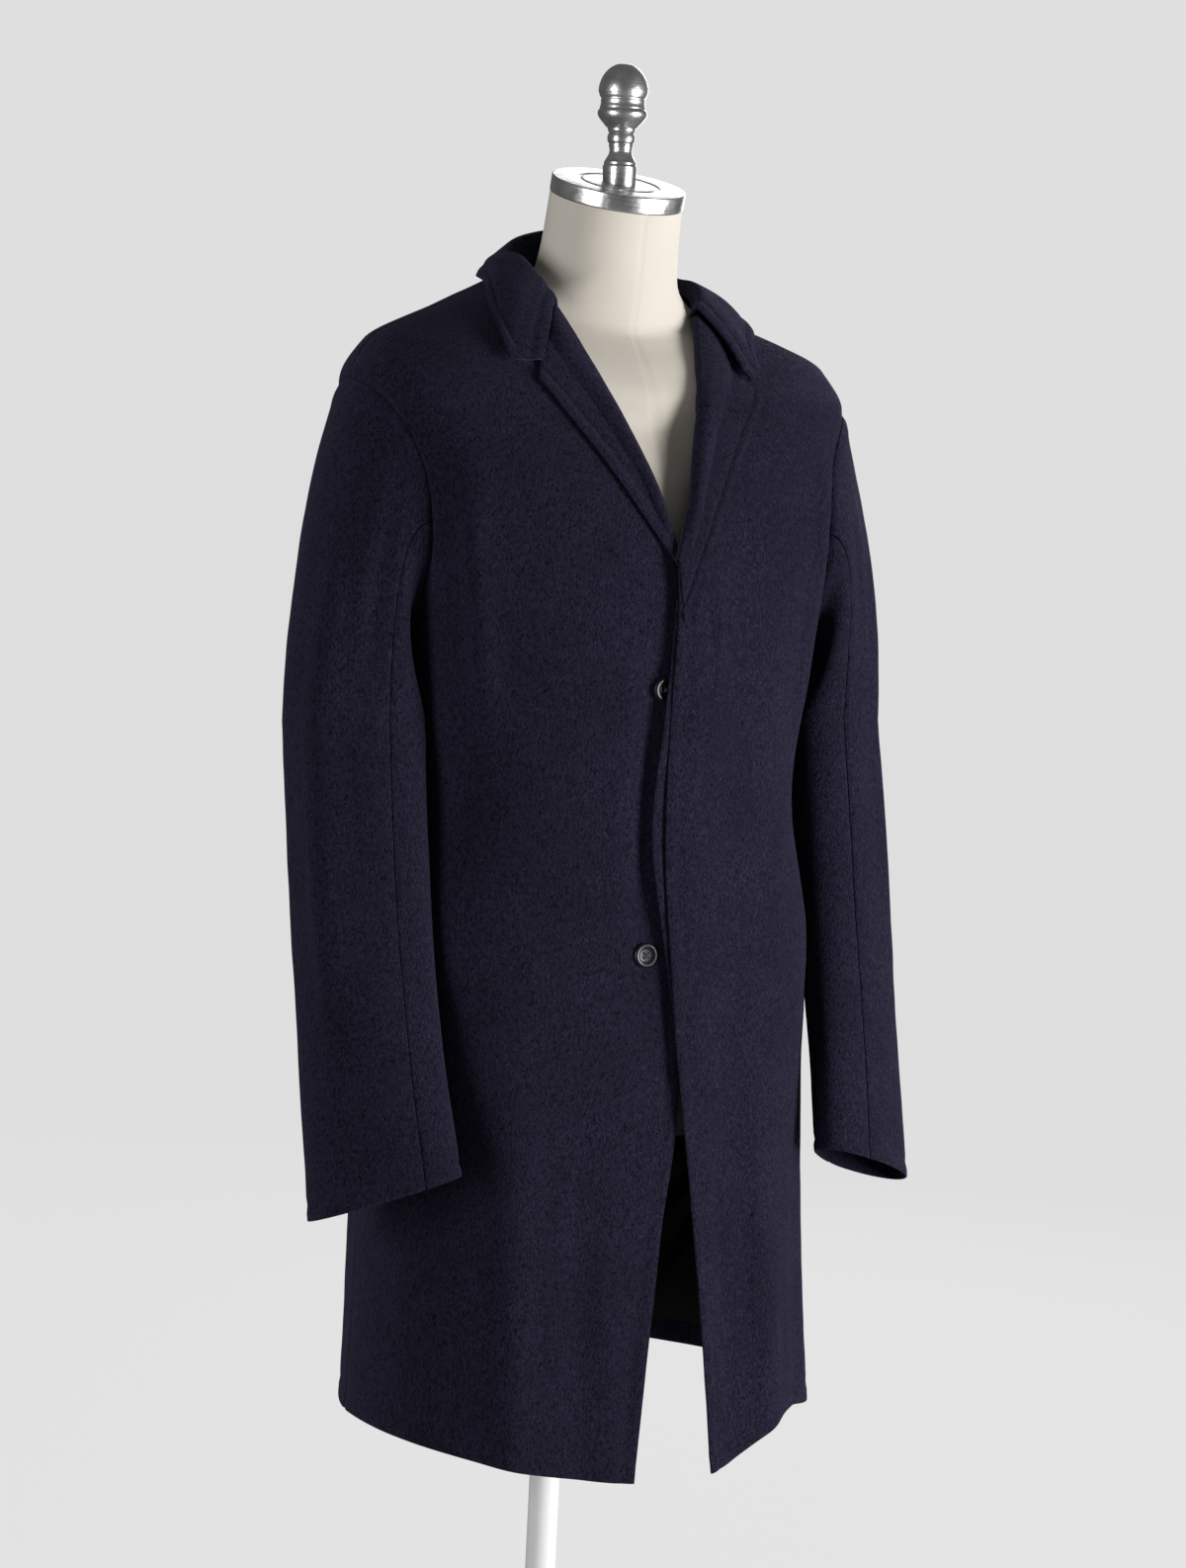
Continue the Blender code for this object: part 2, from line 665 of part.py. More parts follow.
def fly():
    """The strip with the hidden buttonholes, made from the left front's points, moved in."""
    turn, height = front_grid(1)
    kept = (height[:, 0] > FLY_EDGE[0][0] - 0.02) & (height[:, 0] < FLY_EDGE[-1][0])
    turn, height = turn[kept, :FLY_COLUMNS], height[kept, :FLY_COLUMNS]
    past = smooth(column(FLY_EDGE, 0), column(FLY_EDGE, 1), height[:, 0])
    edge = turn[:, 0] - past / girth(6, height[:, 0])
    turn = np.concatenate([edge[:, None], turn[:, 1:]], axis=1)
    out = overlap_lift(turn, height) - SEAM_GAP
    return sheet("fly", garment(turn, height, out), WOOL, -FLY_CLOTH)


def button(number, level, x):
    """A flat button with a raised rim, square to the right front."""
    turn, height = from_front(np.array([x]), np.array([level]), 1)
    radius = BUTTON_WIDTH / 2
    profile = (
        (0.0, BUTTON_THICKNESS * 0.70),
        (radius * 0.62, BUTTON_THICKNESS * 0.70),
        (radius * 0.76, BUTTON_THICKNESS),
        (radius * 0.92, BUTTON_THICKNESS),
        (radius, BUTTON_THICKNESS * 0.50),
        (radius * 0.90, 0.0),
        (0.0, 0.0),
    )
    made = turned(f"button_{number}", profile, 16, HORN)
    made.rotation_mode = "QUATERNION"
    made.rotation_quaternion = Vector(surface_normal(turn, height)[0]).to_track_quat("Z", "Y")
    made.location = garment(turn, height, CLOTH + SEAM_GAP)[0]


# ---- the sleeves ----


def sleeve_section(row, angle, side):
    """Points round one section of a sleeve; angle is 0 at its outer side, a quarter at its front."""
    _, out, forward, up, long, short, turn, front, inner = row
    heading = math.pi - math.radians(turn)
    along = long * np.cos(angle - heading)
    across = short * np.sin(angle - heading)
    x = along * math.cos(heading) - across * math.sin(heading)
    y = along * math.sin(heading) + across * math.cos(heading)
    return np.stack([side * (out + x), -(forward + y), up + front * y - inner * x], axis=-1)


def clear_of_body(points, gap):
    """Points pressed flat where they would come closer than `gap` to the body panels."""
    level = points[:, 2]
    middle = girth(5, level)
    turn = np.arctan2(points[:, 0], middle - points[:, 1])
    wall = garment(turn, side_height(turn, level), CLOTH + gap)
    reach = np.hypot(points[:, 0], middle - points[:, 1])
    needed = np.hypot(wall[:, 0], middle - wall[:, 1])
    scale = (np.maximum(reach, needed) / reach)[:, None]
    centre = np.stack([0.0 * middle, middle, level], axis=-1)
    return centre + (points - centre) * scale


def sleeve_surface(side, angle, drops, inside=0.0):
    """The sleeve's outer points: a row for each drop, from the armhole (0) to the cuff (1)."""
    turn, height = armhole(angle, side, 2 * SEAM_GAP)
    start = garment(turn * side, height, CLOTH)
    normal = surface_normal(turn * side, height)
    hole = garment(np.full(1, math.pi / 2 * side), np.full(1, (SHOULDER_POINT + UNDERARM) / 2))[0]
    top = (1 + np.cos(angle))[:, None] / 2
    inward = hole - start
    inward /= np.linalg.norm(inward, axis=-1, keepdims=True)
    leave = inward * (0.85 * top) + normal * (0.95 - 0.45 * top)
    table = SLEEVES[side]
    sections = np.array([sleeve_section(row, angle, side) for row in table])
    reach = np.linalg.norm(sections[0] - start, axis=-1, keepdims=True) * 0.9
    knots = np.cumsum(SLEEVE_LENGTHS) / sum(SLEEVE_LENGTHS)
    flat = sections.reshape(len(table), -1)
    rows = []
    for drop in drops:
        t = drop / knots[0]
        if t <= 1:
            row = (
                start * (2 * t**3 - 3 * t**2 + 1)
                + leave * reach * (t**3 - 2 * t**2 + t)
                + sections[0] * (3 * t**2 - 2 * t**3)
                + np.array([0.0, 0.0, -1.0]) * reach * (t**3 - t**2)
            )
        else:
            row = np.array([smooth(knots, flat[:, i], drop) for i in range(flat.shape[1])])
            row = row.reshape(-1, 3)
        middle = side * smooth(knots, column(table, 1), drop)
        away = row - np.array([middle, -smooth(knots, column(table, 2), drop), 0.0])
        away[:, 2] = 0.0
        away /= np.linalg.norm(away, axis=-1, keepdims=True)
        row = row + away * sleeve_folds(angle, drop)[:, None]
        if drop > 0:
            row = clear_of_body(row, SLEEVE_CLEAR * ease(drop / 0.10))
        rows.append(row - away * inside)
    return np.array(rows)


def sleeve_folds(angle, drop):
    out = np.zeros_like(angle)
    for _, middle, width, top, foot, rise in SLEEVE_FOLDS:
        away = (np.degrees(angle) - middle + 180) % 360 - 180
        down = (drop - top) / (foot - top)
        out = out + rise * bump(away, width) * ease(down * 3) * ease((1 - down) * 3)
    return out


def sleeve(side):
    """A top and an under sleeve, whose seams run down the front inside and the back."""
    first = SLEEVE_LENGTHS[0] / sum(SLEEVE_LENGTHS)
    drops = np.concatenate([np.linspace(0, first, 9), np.linspace(first, 1, 10)[1:]])
    step = 2 * math.pi / (2 * ARMHOLE_STEPS)
    front_seam, back_seam = UNDER_SLEEVE
    gap = SLEEVE_SEAM_GAP / 2 / 0.045
    top = np.arange(back_seam, front_seam + 2 * math.pi + step / 2, step)
    under = np.arange(front_seam, back_seam + step / 2, step)
    for name, angle in (("top_sleeve_", top), ("under_sleeve_", under)):
        angle = angle.copy()
        angle[0] += gap
        angle[-1] -= gap
        points = sleeve_surface(side, angle, drops)
        if side < 0:
            points = points[:, ::-1]
        sheet(name + label(side), points, WOOL, -CLOTH)


def cuff_lining(side):
    """The lining inside the cuff, a short tube."""
    angle = np.linspace(0, 2 * math.pi, 2 * ARMHOLE_STEPS, endpoint=False)
    points = sleeve_surface(side, angle, np.linspace(*CUFF_LINING, 3), CLOTH + 4 * SEAM_GAP)
    if side < 0:
        points = points[:, ::-1]
    return sheet("cuff_lining_" + label(side), points, SATIN, -LINING, closed=True)


# ---- the dress form ----


def cap_ring(radius, drop, around):
    """A ring about the tilted cap's axis, `drop` below its top."""
    up = np.array([0.0, -math.sin(CAP_TILT), math.cos(CAP_TILT)])
    forward = np.array([0.0, -math.cos(CAP_TILT), -math.sin(CAP_TILT)])
    circle = np.outer(np.sin(around), [1.0, 0.0, 0.0]) + np.outer(np.cos(around), forward)
    return np.array(CAP_MIDDLE) - drop * up + radius * circle


def form_body(around):
    """The form's body inside the coat, and its neck up to the cap."""
    rings = []
    lower = np.linspace(FORM[0][0], 1.38, 12)
    for height in np.concatenate([lower, np.linspace(1.38, FORM[-1][0], 9)[1:]]):
        level = np.full_like(around, height)
        inside = smooth(column(FORM, 0), column(FORM, 1), height)
        rings.append(bare_surface(around, level) - surface_normal(around, level) * inside)
    rings[0][:, 2] = FORM_BOTTOM
    for height, radius, forward in FORM_NECK:
        x, y = radius * np.sin(around), -forward - radius * np.cos(around)
        level = height - left_drop(x, height) * ease((FORM_NECK[-1][0] - height) / 0.038)
        rings.append(np.stack([x, y, level], axis=-1))
    rings.append(cap_ring(CAP_RADIUS - 0.0004, CAP_THICKNESS + 0.0003, around))
    solid("form_body", rings, JERSEY)


def form_cap(around):
    profile = (
        (CAP_RADIUS - 0.0012, CAP_THICKNESS),
        (CAP_RADIUS, CAP_THICKNESS - 0.0012),
        (CAP_RADIUS, 0.0016),
        (CAP_RADIUS - 0.0016, 0.0),
    )
    solid("form_cap", [cap_ring(radius, drop, around) for radius, drop in profile], ALUMINIUM)


def form_finial(around):
    """The upright turned finial; its foot is cut to the slope of the cap."""
    dome_start, dome_radius = FINIAL[-1][1:]
    heights = np.linspace(0, dome_start, 15)
    profile = list(zip(smooth(column(FINIAL, 1), column(FINIAL, 2), heights), heights))
    for step in range(1, 6):
        angle = math.pi / 2 * step / 6
        profile.append((dome_radius * math.cos(angle), dome_start + FINIAL_DOME * math.sin(angle)))
    rings = []
    for number, (radius, height) in enumerate(profile):
        ring = np.stack([radius * np.sin(around), -radius * np.cos(around), 0.0 * around], axis=-1)
        if number == 0:
            ring[:, 2] = 0.0003 + ring[:, 1] * math.tan(CAP_TILT)
        else:
            ring[:, 2] = height + FINIAL_LIFT
        rings.append(ring + np.array(CAP_MIDDLE))
    solid("form_finial", rings, ALUMINIUM)


def stand():
    """The pole under the form's body and the round base plate."""
    seat = BASE_THICKNESS + BASE_BOSS
    pole = (
        (0.0, FORM_BOTTOM - 0.0003),
        (POLE_RADIUS, FORM_BOTTOM - 0.0003),
        (POLE_RADIUS, seat + 0.0003),
        (0.0, seat + 0.0003),
    )
    turned("stand_pole", pole, 24, PAINT)
    base = (
        (0.0, seat),
        (POLE_RADIUS + 0.008, seat),
        (POLE_RADIUS + 0.016, BASE_THICKNESS),
        (BASE_RADIUS - 0.004, BASE_THICKNESS - 0.002),
        (BASE_RADIUS, BASE_THICKNESS - 0.006),
        (BASE_RADIUS, 0.002),
        (BASE_RADIUS - 0.002, 0.0),
        (0.0, 0.0),
    )
    turned("stand_base", base, 48, PAINT)


def main():
    for item in list(bpy.data.objects):
        bpy.data.objects.remove(item, do_unlink=True)
    parts = bpy.data.collections.new("wool_overcoat")
    bpy.context.scene.collection.children.link(parts)
    for side in (1, -1):
        front_panel(side)
        lapel(side)
        sleeve(side)
        cuff_lining(side)
    back_panel()
    back_lining()
    collar()
    fly()
    for number, (level, x) in enumerate(BUTTONS, start=1):
        button(number, level, x)
    around = np.linspace(0, 2 * math.pi, 40, endpoint=False)
    form_body(around)
    form_cap(around)
    form_finial(np.linspace(0, 2 * math.pi, 24, endpoint=False))
    stand()


main()
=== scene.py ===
import math
from functools import cache

import bmesh
import bpy
import numpy as np
from mathutils import Matrix, Vector, noise


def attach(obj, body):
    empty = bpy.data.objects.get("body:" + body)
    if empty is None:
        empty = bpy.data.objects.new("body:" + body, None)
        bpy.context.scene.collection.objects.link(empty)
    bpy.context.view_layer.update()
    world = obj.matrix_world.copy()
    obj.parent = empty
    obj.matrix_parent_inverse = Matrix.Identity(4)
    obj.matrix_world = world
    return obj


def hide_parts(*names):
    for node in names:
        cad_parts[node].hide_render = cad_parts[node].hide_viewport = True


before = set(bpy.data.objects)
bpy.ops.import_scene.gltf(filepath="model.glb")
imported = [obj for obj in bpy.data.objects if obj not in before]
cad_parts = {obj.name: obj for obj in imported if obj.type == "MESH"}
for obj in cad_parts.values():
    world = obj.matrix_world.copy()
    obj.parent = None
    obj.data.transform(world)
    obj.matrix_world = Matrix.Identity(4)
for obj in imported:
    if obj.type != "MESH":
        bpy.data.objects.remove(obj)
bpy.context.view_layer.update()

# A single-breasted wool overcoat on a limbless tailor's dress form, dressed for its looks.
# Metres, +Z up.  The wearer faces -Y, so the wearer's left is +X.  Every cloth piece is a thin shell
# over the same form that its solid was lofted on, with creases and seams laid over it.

# Driving sizes of the coat
CLOTH = 0.0020
COLLAR_CLOTH = 0.0026
LINING = 0.0010
SEAM_GAP = 0.0004
HEM = 0.602
NECK = 1.503
SHOULDER_POINT = 1.412
UNDERARM = 1.205
SHOULDER_TILT = 0.040
NECK_DROP = 0.017
ARMHOLE_FRONT = {1: math.radians(55.0), -1: math.radians(65.0)}
ARMHOLE_BACK = math.radians(114.0)
SIDE_SEAM = math.radians(96.0)
OVERLAP_LIFT = 0.0078
OVERLAP_REACH = math.radians(24.0)
OVERLAP_SLOPE = math.radians(20.0)
OVERLAP_RUN_OUT = 0.09

# The left of the hem hangs higher: by how much, round which turn, how wide and how far up.
LEFT_HEM_LIFT = 0.023
LEFT_HEM_TURN = 42
LEFT_HEM_WIDTH = 19
LEFT_HEM_HEIGHT = 0.15

# Where the left shoulder's tilt starts and over what length it grows, upward and outward, then the
# same upward for the drop beside the neck, and its middle and width outward.
TILT_UP = (1.25, 0.17)
TILT_OUT = (0.10, 0.08)
DROP_UP = (1.42, 0.04)
DROP_MIDDLE = 0.10
DROP_WIDTH = 0.055

# How far the cloth is from the middle of the body or a sleeve, where metres along it become turns.
BODY_RADIUS = 0.165
CHEST_DEPTH = 0.15
ARMHOLE_REACH = 0.20
SLEEVE_RADIUS = 0.045

# The lapels as seen from the front, by side (1 is left, -1 is right): how far from the middle and
# how high each named place is, how much narrower the lapel is between, and where its notch starts.
BREAK_POINT = {1: (-0.007, 1.288), -1: (0.000, 1.285)}
GORGE_END = {1: (0.058, 1.472), -1: (0.067, 1.474)}
LAPEL_FOOT = {1: (-0.004, 1.240), -1: (0.0025, 1.279)}
LAPEL_CORNER = {1: (0.092, 1.408), -1: (0.0995, 1.417)}
LAPEL_BOW = {1: 0.008, -1: -0.001}
LAPEL_ROLL = 0.0042
LAPEL_ROLL_SHARE = 0.45
LAPEL_SPREAD = 0.001
NOTCH_SHARE = {1: 0.72, -1: 0.80}

# Steps of the panels' grids: rows below the underarm, then steps up the armhole, which on a front are
# shared out between its edge above the underarm, its roll line and its neckline.
LOWER_ROWS = 96
EDGE_STEPS = 8
ROLL_STEPS = 40
NECK_STEPS = 20
ARMHOLE_STEPS = EDGE_STEPS + ROLL_STEPS + NECK_STEPS
FRONT_STEPS = 76
SHOULDER_STEPS = 30
BACK_NECK_STEPS = 30

# The garment's girths from hem to neckline: heights at the side, front and back, half the width,
# the middle of the girth, its depths to the front and back, and how square it is (2 = ellipse).
GIRTHS = (
    # name        side   front  back   half   middle  front  back   square
    ("hem",       HEM,   0.578, 0.607, 0.194, -0.045, 0.163, 0.163, 2.00),
    ("thigh",     0.730, 0.716, 0.732, 0.186, -0.034, 0.156, 0.158, 2.10),
    ("seat",      0.860, 0.855, 0.860, 0.183, -0.024, 0.148, 0.152, 2.20),
    ("hip",       0.970, 0.970, 0.970, 0.186, -0.015, 0.147, 0.142, 2.25),
    ("waist",     1.100, 1.100, 1.100, 0.165, -0.008, 0.147, 0.124, 2.30),
    ("chest",     1.240, 1.240, 1.245, 0.178, -0.003, 0.153, 0.132, 2.35),
    ("armhole",   1.335, 1.328, 1.345, 0.198,  0.000, 0.142, 0.134, 2.40),
    ("sleeve",    SHOULDER_POINT, 1.385, 1.408, 0.213, 0.000, 0.114, 0.120, 2.20),
    ("shoulder",  1.442, 1.411, 1.437, 0.198,  0.000, 0.099, 0.104, 1.95),
    ("yoke",      1.470, 1.445, 1.473, 0.143,  0.001, 0.075, 0.083, 1.90),
    ("neck",      NECK,  1.480, 1.510, 0.072,  0.004, 0.052, 0.056, 2.00),
)

# Folds that stand out of the garment surface: where round the body, how far each drifts sideways to
# its foot, the heights it runs between, how wide it is and how far out (or, less than 0, in).
FOLDS = (
    # name                turn   drift  top    foot   width  out
    ("right chest drape",  -57,   2,    1.400, 1.120,  4.5,  0.0050),
    ("left chest drape",    57,  -2,    1.410, 1.090,  4.5,  0.0055),
    ("right skirt flute",  -46,   5,    1.020, 0.560,  7.0,  0.0060),
    ("right skirt hollow", -27,   3,    0.980, 0.560,  7.0, -0.0050),
    ("left skirt flute",    38,  -4,    0.960, 0.560,  6.5,  0.0060),
    ("left skirt hollow",   56,  -3,    0.900, 0.560,  6.0, -0.0040),
    ("left side hollow",    80,   0,    1.150, 0.980,  9.0, -0.0050),
    ("right back flute",  -148,   4,    1.150, 0.560,  9.0,  0.0065),
    ("left back flute",    143,  -3,    1.120, 0.560,  9.0,  0.0060),
    ("back hollow",        176,   2,    1.060, 0.560, 10.0, -0.0050),
    ("right blade drape", -118,  -3,    1.390, 1.120,  6.0,  0.0045),
    ("left blade drape",   118,   3,    1.400, 1.100,  6.0,  0.0045),
)

# How far each front's edge reaches past the middle of the body.
FRONT_EDGES = (
    # name    height  left    right
    ("hem",   0.578,  0.036, -0.035),
    ("seat",  0.780,  0.019, -0.006),
    ("gap",   0.865,  0.010,  0.009),
    ("hip",   0.930,  0.003,  0.012),
    ("waist", 1.080, -0.008,  0.018),
    ("break", 1.285, -0.007,  0.034),
)

# The collar from its front end to the middle of the back: how high its fold rises over the foot of
# its stand, how far out the fold lies, and the turn and height of its free edge on each side.  Its
# first row starts at the end of the gorge and ends in the notch.  Its second ends in the corner
# and starts at a share of the neckline from the gorge to the shoulder.
COLLAR = (
    # turn  rise   fold out  left turn  height  right turn  height
    (None,  0.006, 0.004,     None,     None,    None,      None),
    (None,  0.009, 0.005,     54.0,     1.427,   55.3,      1.429),
    (72.0,  0.009, 0.006,     61.0,     1.441,   64.0,      1.453),
    (90.0,  0.010, 0.006,     84.0,     1.464,   84.0,      1.486),
    (110.0, 0.012, 0.006,    106.0,     1.472,  106.0,      1.491),
    (130.0, 0.020, 0.006,    129.0,     1.479,  129.0,      1.491),
    (180.0, 0.027, 0.006,    180.0,     1.484,  180.0,      1.484),
)
COLLAR_CORNER_SHARE = 0.25
COLLAR_EDGE_OUT = 0.0060
COLLAR_BULGE = 0.0045

# The sleeves from under the armhole to the cuff: the middle of each section outward, forward and up,
# the half lengths of its long and short axes, how far the long axis turns in towards the front, and
# how the section's plane rises towards the front and towards the body.
SLEEVES = {
    1: (
        # name       out    forward up     long   short  turn  front  inner
        ("biceps",   0.215, 0.027,  1.150, 0.057, 0.035, 42,   0.10,  0.00),
        ("elbow",    0.219, 0.050,  1.030, 0.057, 0.034, 38,   0.15,  0.02),
        ("forearm",  0.219, 0.085,  0.905, 0.058, 0.031, 34,   0.20,  0.10),
        ("cuff",     0.214, 0.120,  0.795, 0.061, 0.029, 30,   0.28,  0.27),
    ),
    -1: (
        ("biceps",   0.213, 0.027,  1.150, 0.057, 0.035, 42,   0.10,  0.00),
        ("elbow",    0.213, 0.050,  1.030, 0.056, 0.034, 42,   0.15,  0.02),
        ("forearm",  0.213, 0.085,  0.905, 0.056, 0.031, 42,   0.20,  0.10),
        ("cuff",     0.212, 0.120,  0.795, 0.059, 0.028, 40,   0.28,  0.27),
    ),
}
SLEEVE_LENGTHS = (0.30, 0.17, 0.20, 0.18)
SLEEVE_CLEAR = 0.0016
SLEEVE_FOLDS = (
    # name            turn  width  top    foot   out
    ("front ridge",    32,   14,   0.03,  0.80,  0.0050),
    ("outer flat",    352,   20,   0.10,  0.90, -0.0030),
    ("elbow hollow",  262,   18,   0.35,  0.80, -0.0030),
)
UNDER_SLEEVE = (math.radians(90.0), math.radians(240.0))
SLEEVE_SEAM_GAP = 0.0004
CUFF_LINING = (0.86, 0.975)

# The strip with the hidden buttonholes: how far its edge shows past the left front's edge.
FLY_EDGE = (
    # height  past
    (0.905,  -0.003),
    (1.000,   0.005),
    (1.080,   0.011),
    (1.170,   0.005),
    (1.260,   0.001),
)
FLY_COLUMNS = 18
FLY_CLOTH = 0.0014

# The buttons sewn on the right front.
BUTTONS = (
    # height  x
    (1.268,   0.007),
    (1.188,  -0.011),
    (1.086,  -0.006),
    (0.983,  -0.019),
)
BUTTON_WIDTH = 0.0195
BUTTON_THICKNESS = 0.0028

# The lining inside the back: side seam to side seam but for the first columns, between these heights.
# Its slack stands away in ripples round the body, which sway on their way up and start at its foot.
LINING_FOOT = 0.622
LINING_TOP = 0.950
LINING_FIRST_COLUMN = 5
LINING_SLACK = 0.0024
LINING_RIPPLES = 31
LINING_SWAY = 9
LINING_SWAYS = 17
LINING_START = 0.05

# The dress form: how far its body stays inside the garment surface at each height, then its neck.
FORM = (
    # height  inside
    (0.838,   0.034),
    (0.980,   0.032),
    (1.085,   0.030),
    (1.200,   0.016),
    (1.300,   0.012),
    (1.412,   0.013),
    (1.436,   0.0075),
    (1.448,   0.0040),
    (1.460,   0.0034),
    (1.474,   0.0060),
    (1.486,   0.0070),
)
FORM_BOTTOM = 0.834
FORM_NECK = (
    # height  radius  forward
    (1.502,   0.0580, 0.004),
    (1.518,   0.0550, 0.008),
    (1.540,   0.0535, 0.012),
)
CAP_MIDDLE = (0.0, -0.020, 1.574)
CAP_TILT = math.radians(14.0)
CAP_RADIUS = 0.0532
CAP_THICKNESS = 0.0130

# The finial's swells and necks up to where its dome starts.
FINIAL = (
    # name           height  radius
    ("foot",         0.000,  0.0130),
    ("foot swell",   0.009,  0.0135),
    ("long neck",    0.021,  0.0088),
    ("bead",         0.031,  0.0110),
    ("upper neck",   0.035,  0.0105),
    ("lower swell",  0.050,  0.0196),
    ("waist",        0.058,  0.0173),
    ("upper swell",  0.067,  0.0196),
)
FINIAL_DOME = 0.022
FINIAL_LIFT = 0.0035

POLE_RADIUS = 0.0125
BASE_RADIUS = 0.190
BASE_THICKNESS = 0.012
BASE_BOSS = 0.006

# Relief of the cloth: how deep a seam sinks and how wide, and how a folded edge swells and is pressed,
# each with its distance from the edge and its width.
SEAM_SINK = 0.0008
SEAM_WIDTH = 0.0022
EDGE_SWELL = 0.0008
EDGE_SWELL_AT = 0.0035
EDGE_SWELL_WIDTH = 0.0040
EDGE_PRESS = 0.0007
EDGE_PRESS_AT = 0.0105
EDGE_PRESS_WIDTH = 0.0030
LAPEL_WRAP = 0.0034
SLEEVE_HEAD = 0.0014

# The cloth's own unevenness: how long and how high its hills and a seam's puckers are.
BROAD_HILLS = (0.075, 0.0010)
SMALL_HILLS = (0.022, 0.00035)
PUCKERS = (0.009, 0.0006)
PUCKERS_AT = 0.004
PUCKERS_WIDTH = 0.005

# The line of stitches round the fly: how far inside the left front's edge, its foot, how soon it has
# turned up and its top; then how proud the cloth stands inside it and how deep the line is.
FLY_LINE = 0.031
FLY_LINE_FOOT = 0.925
FLY_LINE_TURN = 0.110
FLY_LINE_TOP = 1.30
FLY_PROUD = 0.0007
FLY_GROOVE = 0.0006

# Edges of a shell: from which angle they are rounded, and by what share of its thickness; and from
# which angle an edge of a solid piece stays sharp.
EDGE_ANGLE = math.radians(60)
EDGE_ROUNDING = 0.42
SHARP_ANGLE = math.radians(50)

# Steps of the other grids.
COLLAR_FRONT_STEPS = 45
COLLAR_BACK_STEPS = 56
COLLAR_COLUMNS = 56
LAPEL_ROWS = 110
LAPEL_COLUMNS = 44
WRAP_COLUMNS = 10
SLEEVE_HEAD_ROWS = 52
SLEEVE_LOWER_ROWS = 64
TOP_SLEEVE_COLUMNS = 92
UNDER_SLEEVE_COLUMNS = 47
CUFF_LINING_ROWS = 16
FORM_AROUND = 160
FORM_ROWS = 120

# Seams of the form's cover, lines cut in the cap and the finial, and the buttons' holes.
FORM_SEAM_SINK = 0.0007
FORM_SEAM_WIDTH = 0.0012
NECK_SEAM_SINK = 0.0008
CAP_GROOVE = 0.031
FINIAL_CUTS = (0.0105, 0.0265, 0.0350, 0.0385, 0.0535, 0.0615)
FINIAL_CUT_DEPTH = 0.0007
FINIAL_CUT_WIDTH = 0.0009
BUTTON_HOLES = 0.0019
BUTTON_HOLE_WIDTH = 0.0017

# Soft creases of the body's cloth: the turns and heights that each runs between, how far it bows
# sideways, how wide it is, and how far it stands out or (less than 0) in.
BODY_CREASES = (
    # name                       turn  top    turn  foot   bow   width   out
    ("left dimple below break",    5,  1.272,   9,  1.205,  1.0, 0.006, -0.0022),
    ("left ridge below break",     9,  1.270,  13,  1.180,  0.5, 0.006,  0.0014),
    ("left ridge by armhole",     56,  1.385,  51,  1.130, -2.0, 0.007,  0.0022),
    ("left hollow by armhole",    62,  1.330,  58,  1.120, -1.0, 0.008, -0.0018),
    ("left side drag",            58,  1.150,  30,  1.030,  2.0, 0.012, -0.0012),
    ("left hip flute",            30,  0.930,  33,  0.560,  1.0, 0.011,  0.0022),
    ("left edge flute",           16,  0.860,  22,  0.560, -1.0, 0.010, -0.0018),
    ("right chest drag",         -20,  1.360, -48,  1.180,  3.0, 0.014, -0.0012),
    ("right hollow by armhole",  -62,  1.340, -58,  1.110,  1.0, 0.008, -0.0020),
    ("right hollow by the fly",   -7,  1.270,  -9,  0.880, -1.0, 0.015, -0.0042),
    ("right ridge past hollow",  -15,  1.250, -17,  0.930,  1.0, 0.012,  0.0012),
    ("right waist drag",         -56,  1.170, -30,  1.060, -2.0, 0.012, -0.0010),
    ("right hip flute",          -34,  0.900, -38,  0.560, -1.0, 0.011, -0.0018),
    ("right low flute",          -20,  0.800, -23,  0.560,  1.0, 0.010,  0.0016),
    ("right edge flute",         -12,  0.760, -13,  0.560,  0.5, 0.008, -0.0012),
    ("left blade drag",          120,  1.330, 150,  1.160,  4.0, 0.016, -0.0014),
    ("right blade drag",        -122,  1.310, -146, 1.120, -3.0, 0.014, -0.0016),
    ("left back flute",          160,  0.960,  164, 0.560,  1.0, 0.012,  0.0018),
    ("right back flute",        -166,  0.900, -161, 0.560, -2.0, 0.011,  0.0015),
    ("left side flute",          104,  0.880,  108, 0.560,  1.0, 0.012, -0.0016),
    ("right side flute",        -100,  0.940, -106, 0.560,  1.5, 0.013, -0.0018),
)

# Soft creases of a sleeve: the angles round it and the drops that each runs between.
SLEEVE_CREASES = (
    # name               angle  to    top   foot  width  out
    ("head break",         50,   62,  0.02, 0.30,  9.0,  0.0016),
    ("head hollow",        68,   70,  0.05, 0.36, 10.0, -0.0018),
    ("front flute",        18,   26,  0.30, 0.96,  9.0,  0.0012),
    ("back break",        318,  300,  0.04, 0.34, 11.0,  0.0016),
    ("elbow upper wrinkle", 285, 225, 0.46, 0.58, 14.0, -0.0016),
    ("elbow lower wrinkle", 230, 300, 0.56, 0.70, 13.0, -0.0014),
    ("back flute",        322,  330,  0.55, 0.98, 12.0,  0.0011),
)

# Colours of the cloth and the room, and how much light falls on the floor's paint.
# The deepest wool colour is painted shade in the hollows between the nap's hairs, and also the dark end of
# its random patches.
WOOL_DEEP_PAINTED_SHADE = (0.0015, 0.0013, 0.0038)
WOOL_MID = (0.0080, 0.0072, 0.0170)
WOOL_TIP = (0.0185, 0.0165, 0.0350)
WOOL_BLOOM = 0.20
WOOL_BLOOM_COLOUR = (0.30, 0.28, 0.48)
FORM_CLOTH = (0.62, 0.575, 0.505)
# The form cloth's darker and lighter colours are mixed by the weave's painted shade and by random patches.
FORM_CLOTH_DARK = (0.57, 0.525, 0.455)
FORM_CLOTH_LIGHT = (0.67, 0.625, 0.555)
BACKGROUND = 0.738
ROOM_LIGHT = 0.115
FLOOR_PAINT = 0.08
FLOOR_LIGHT = 0.21

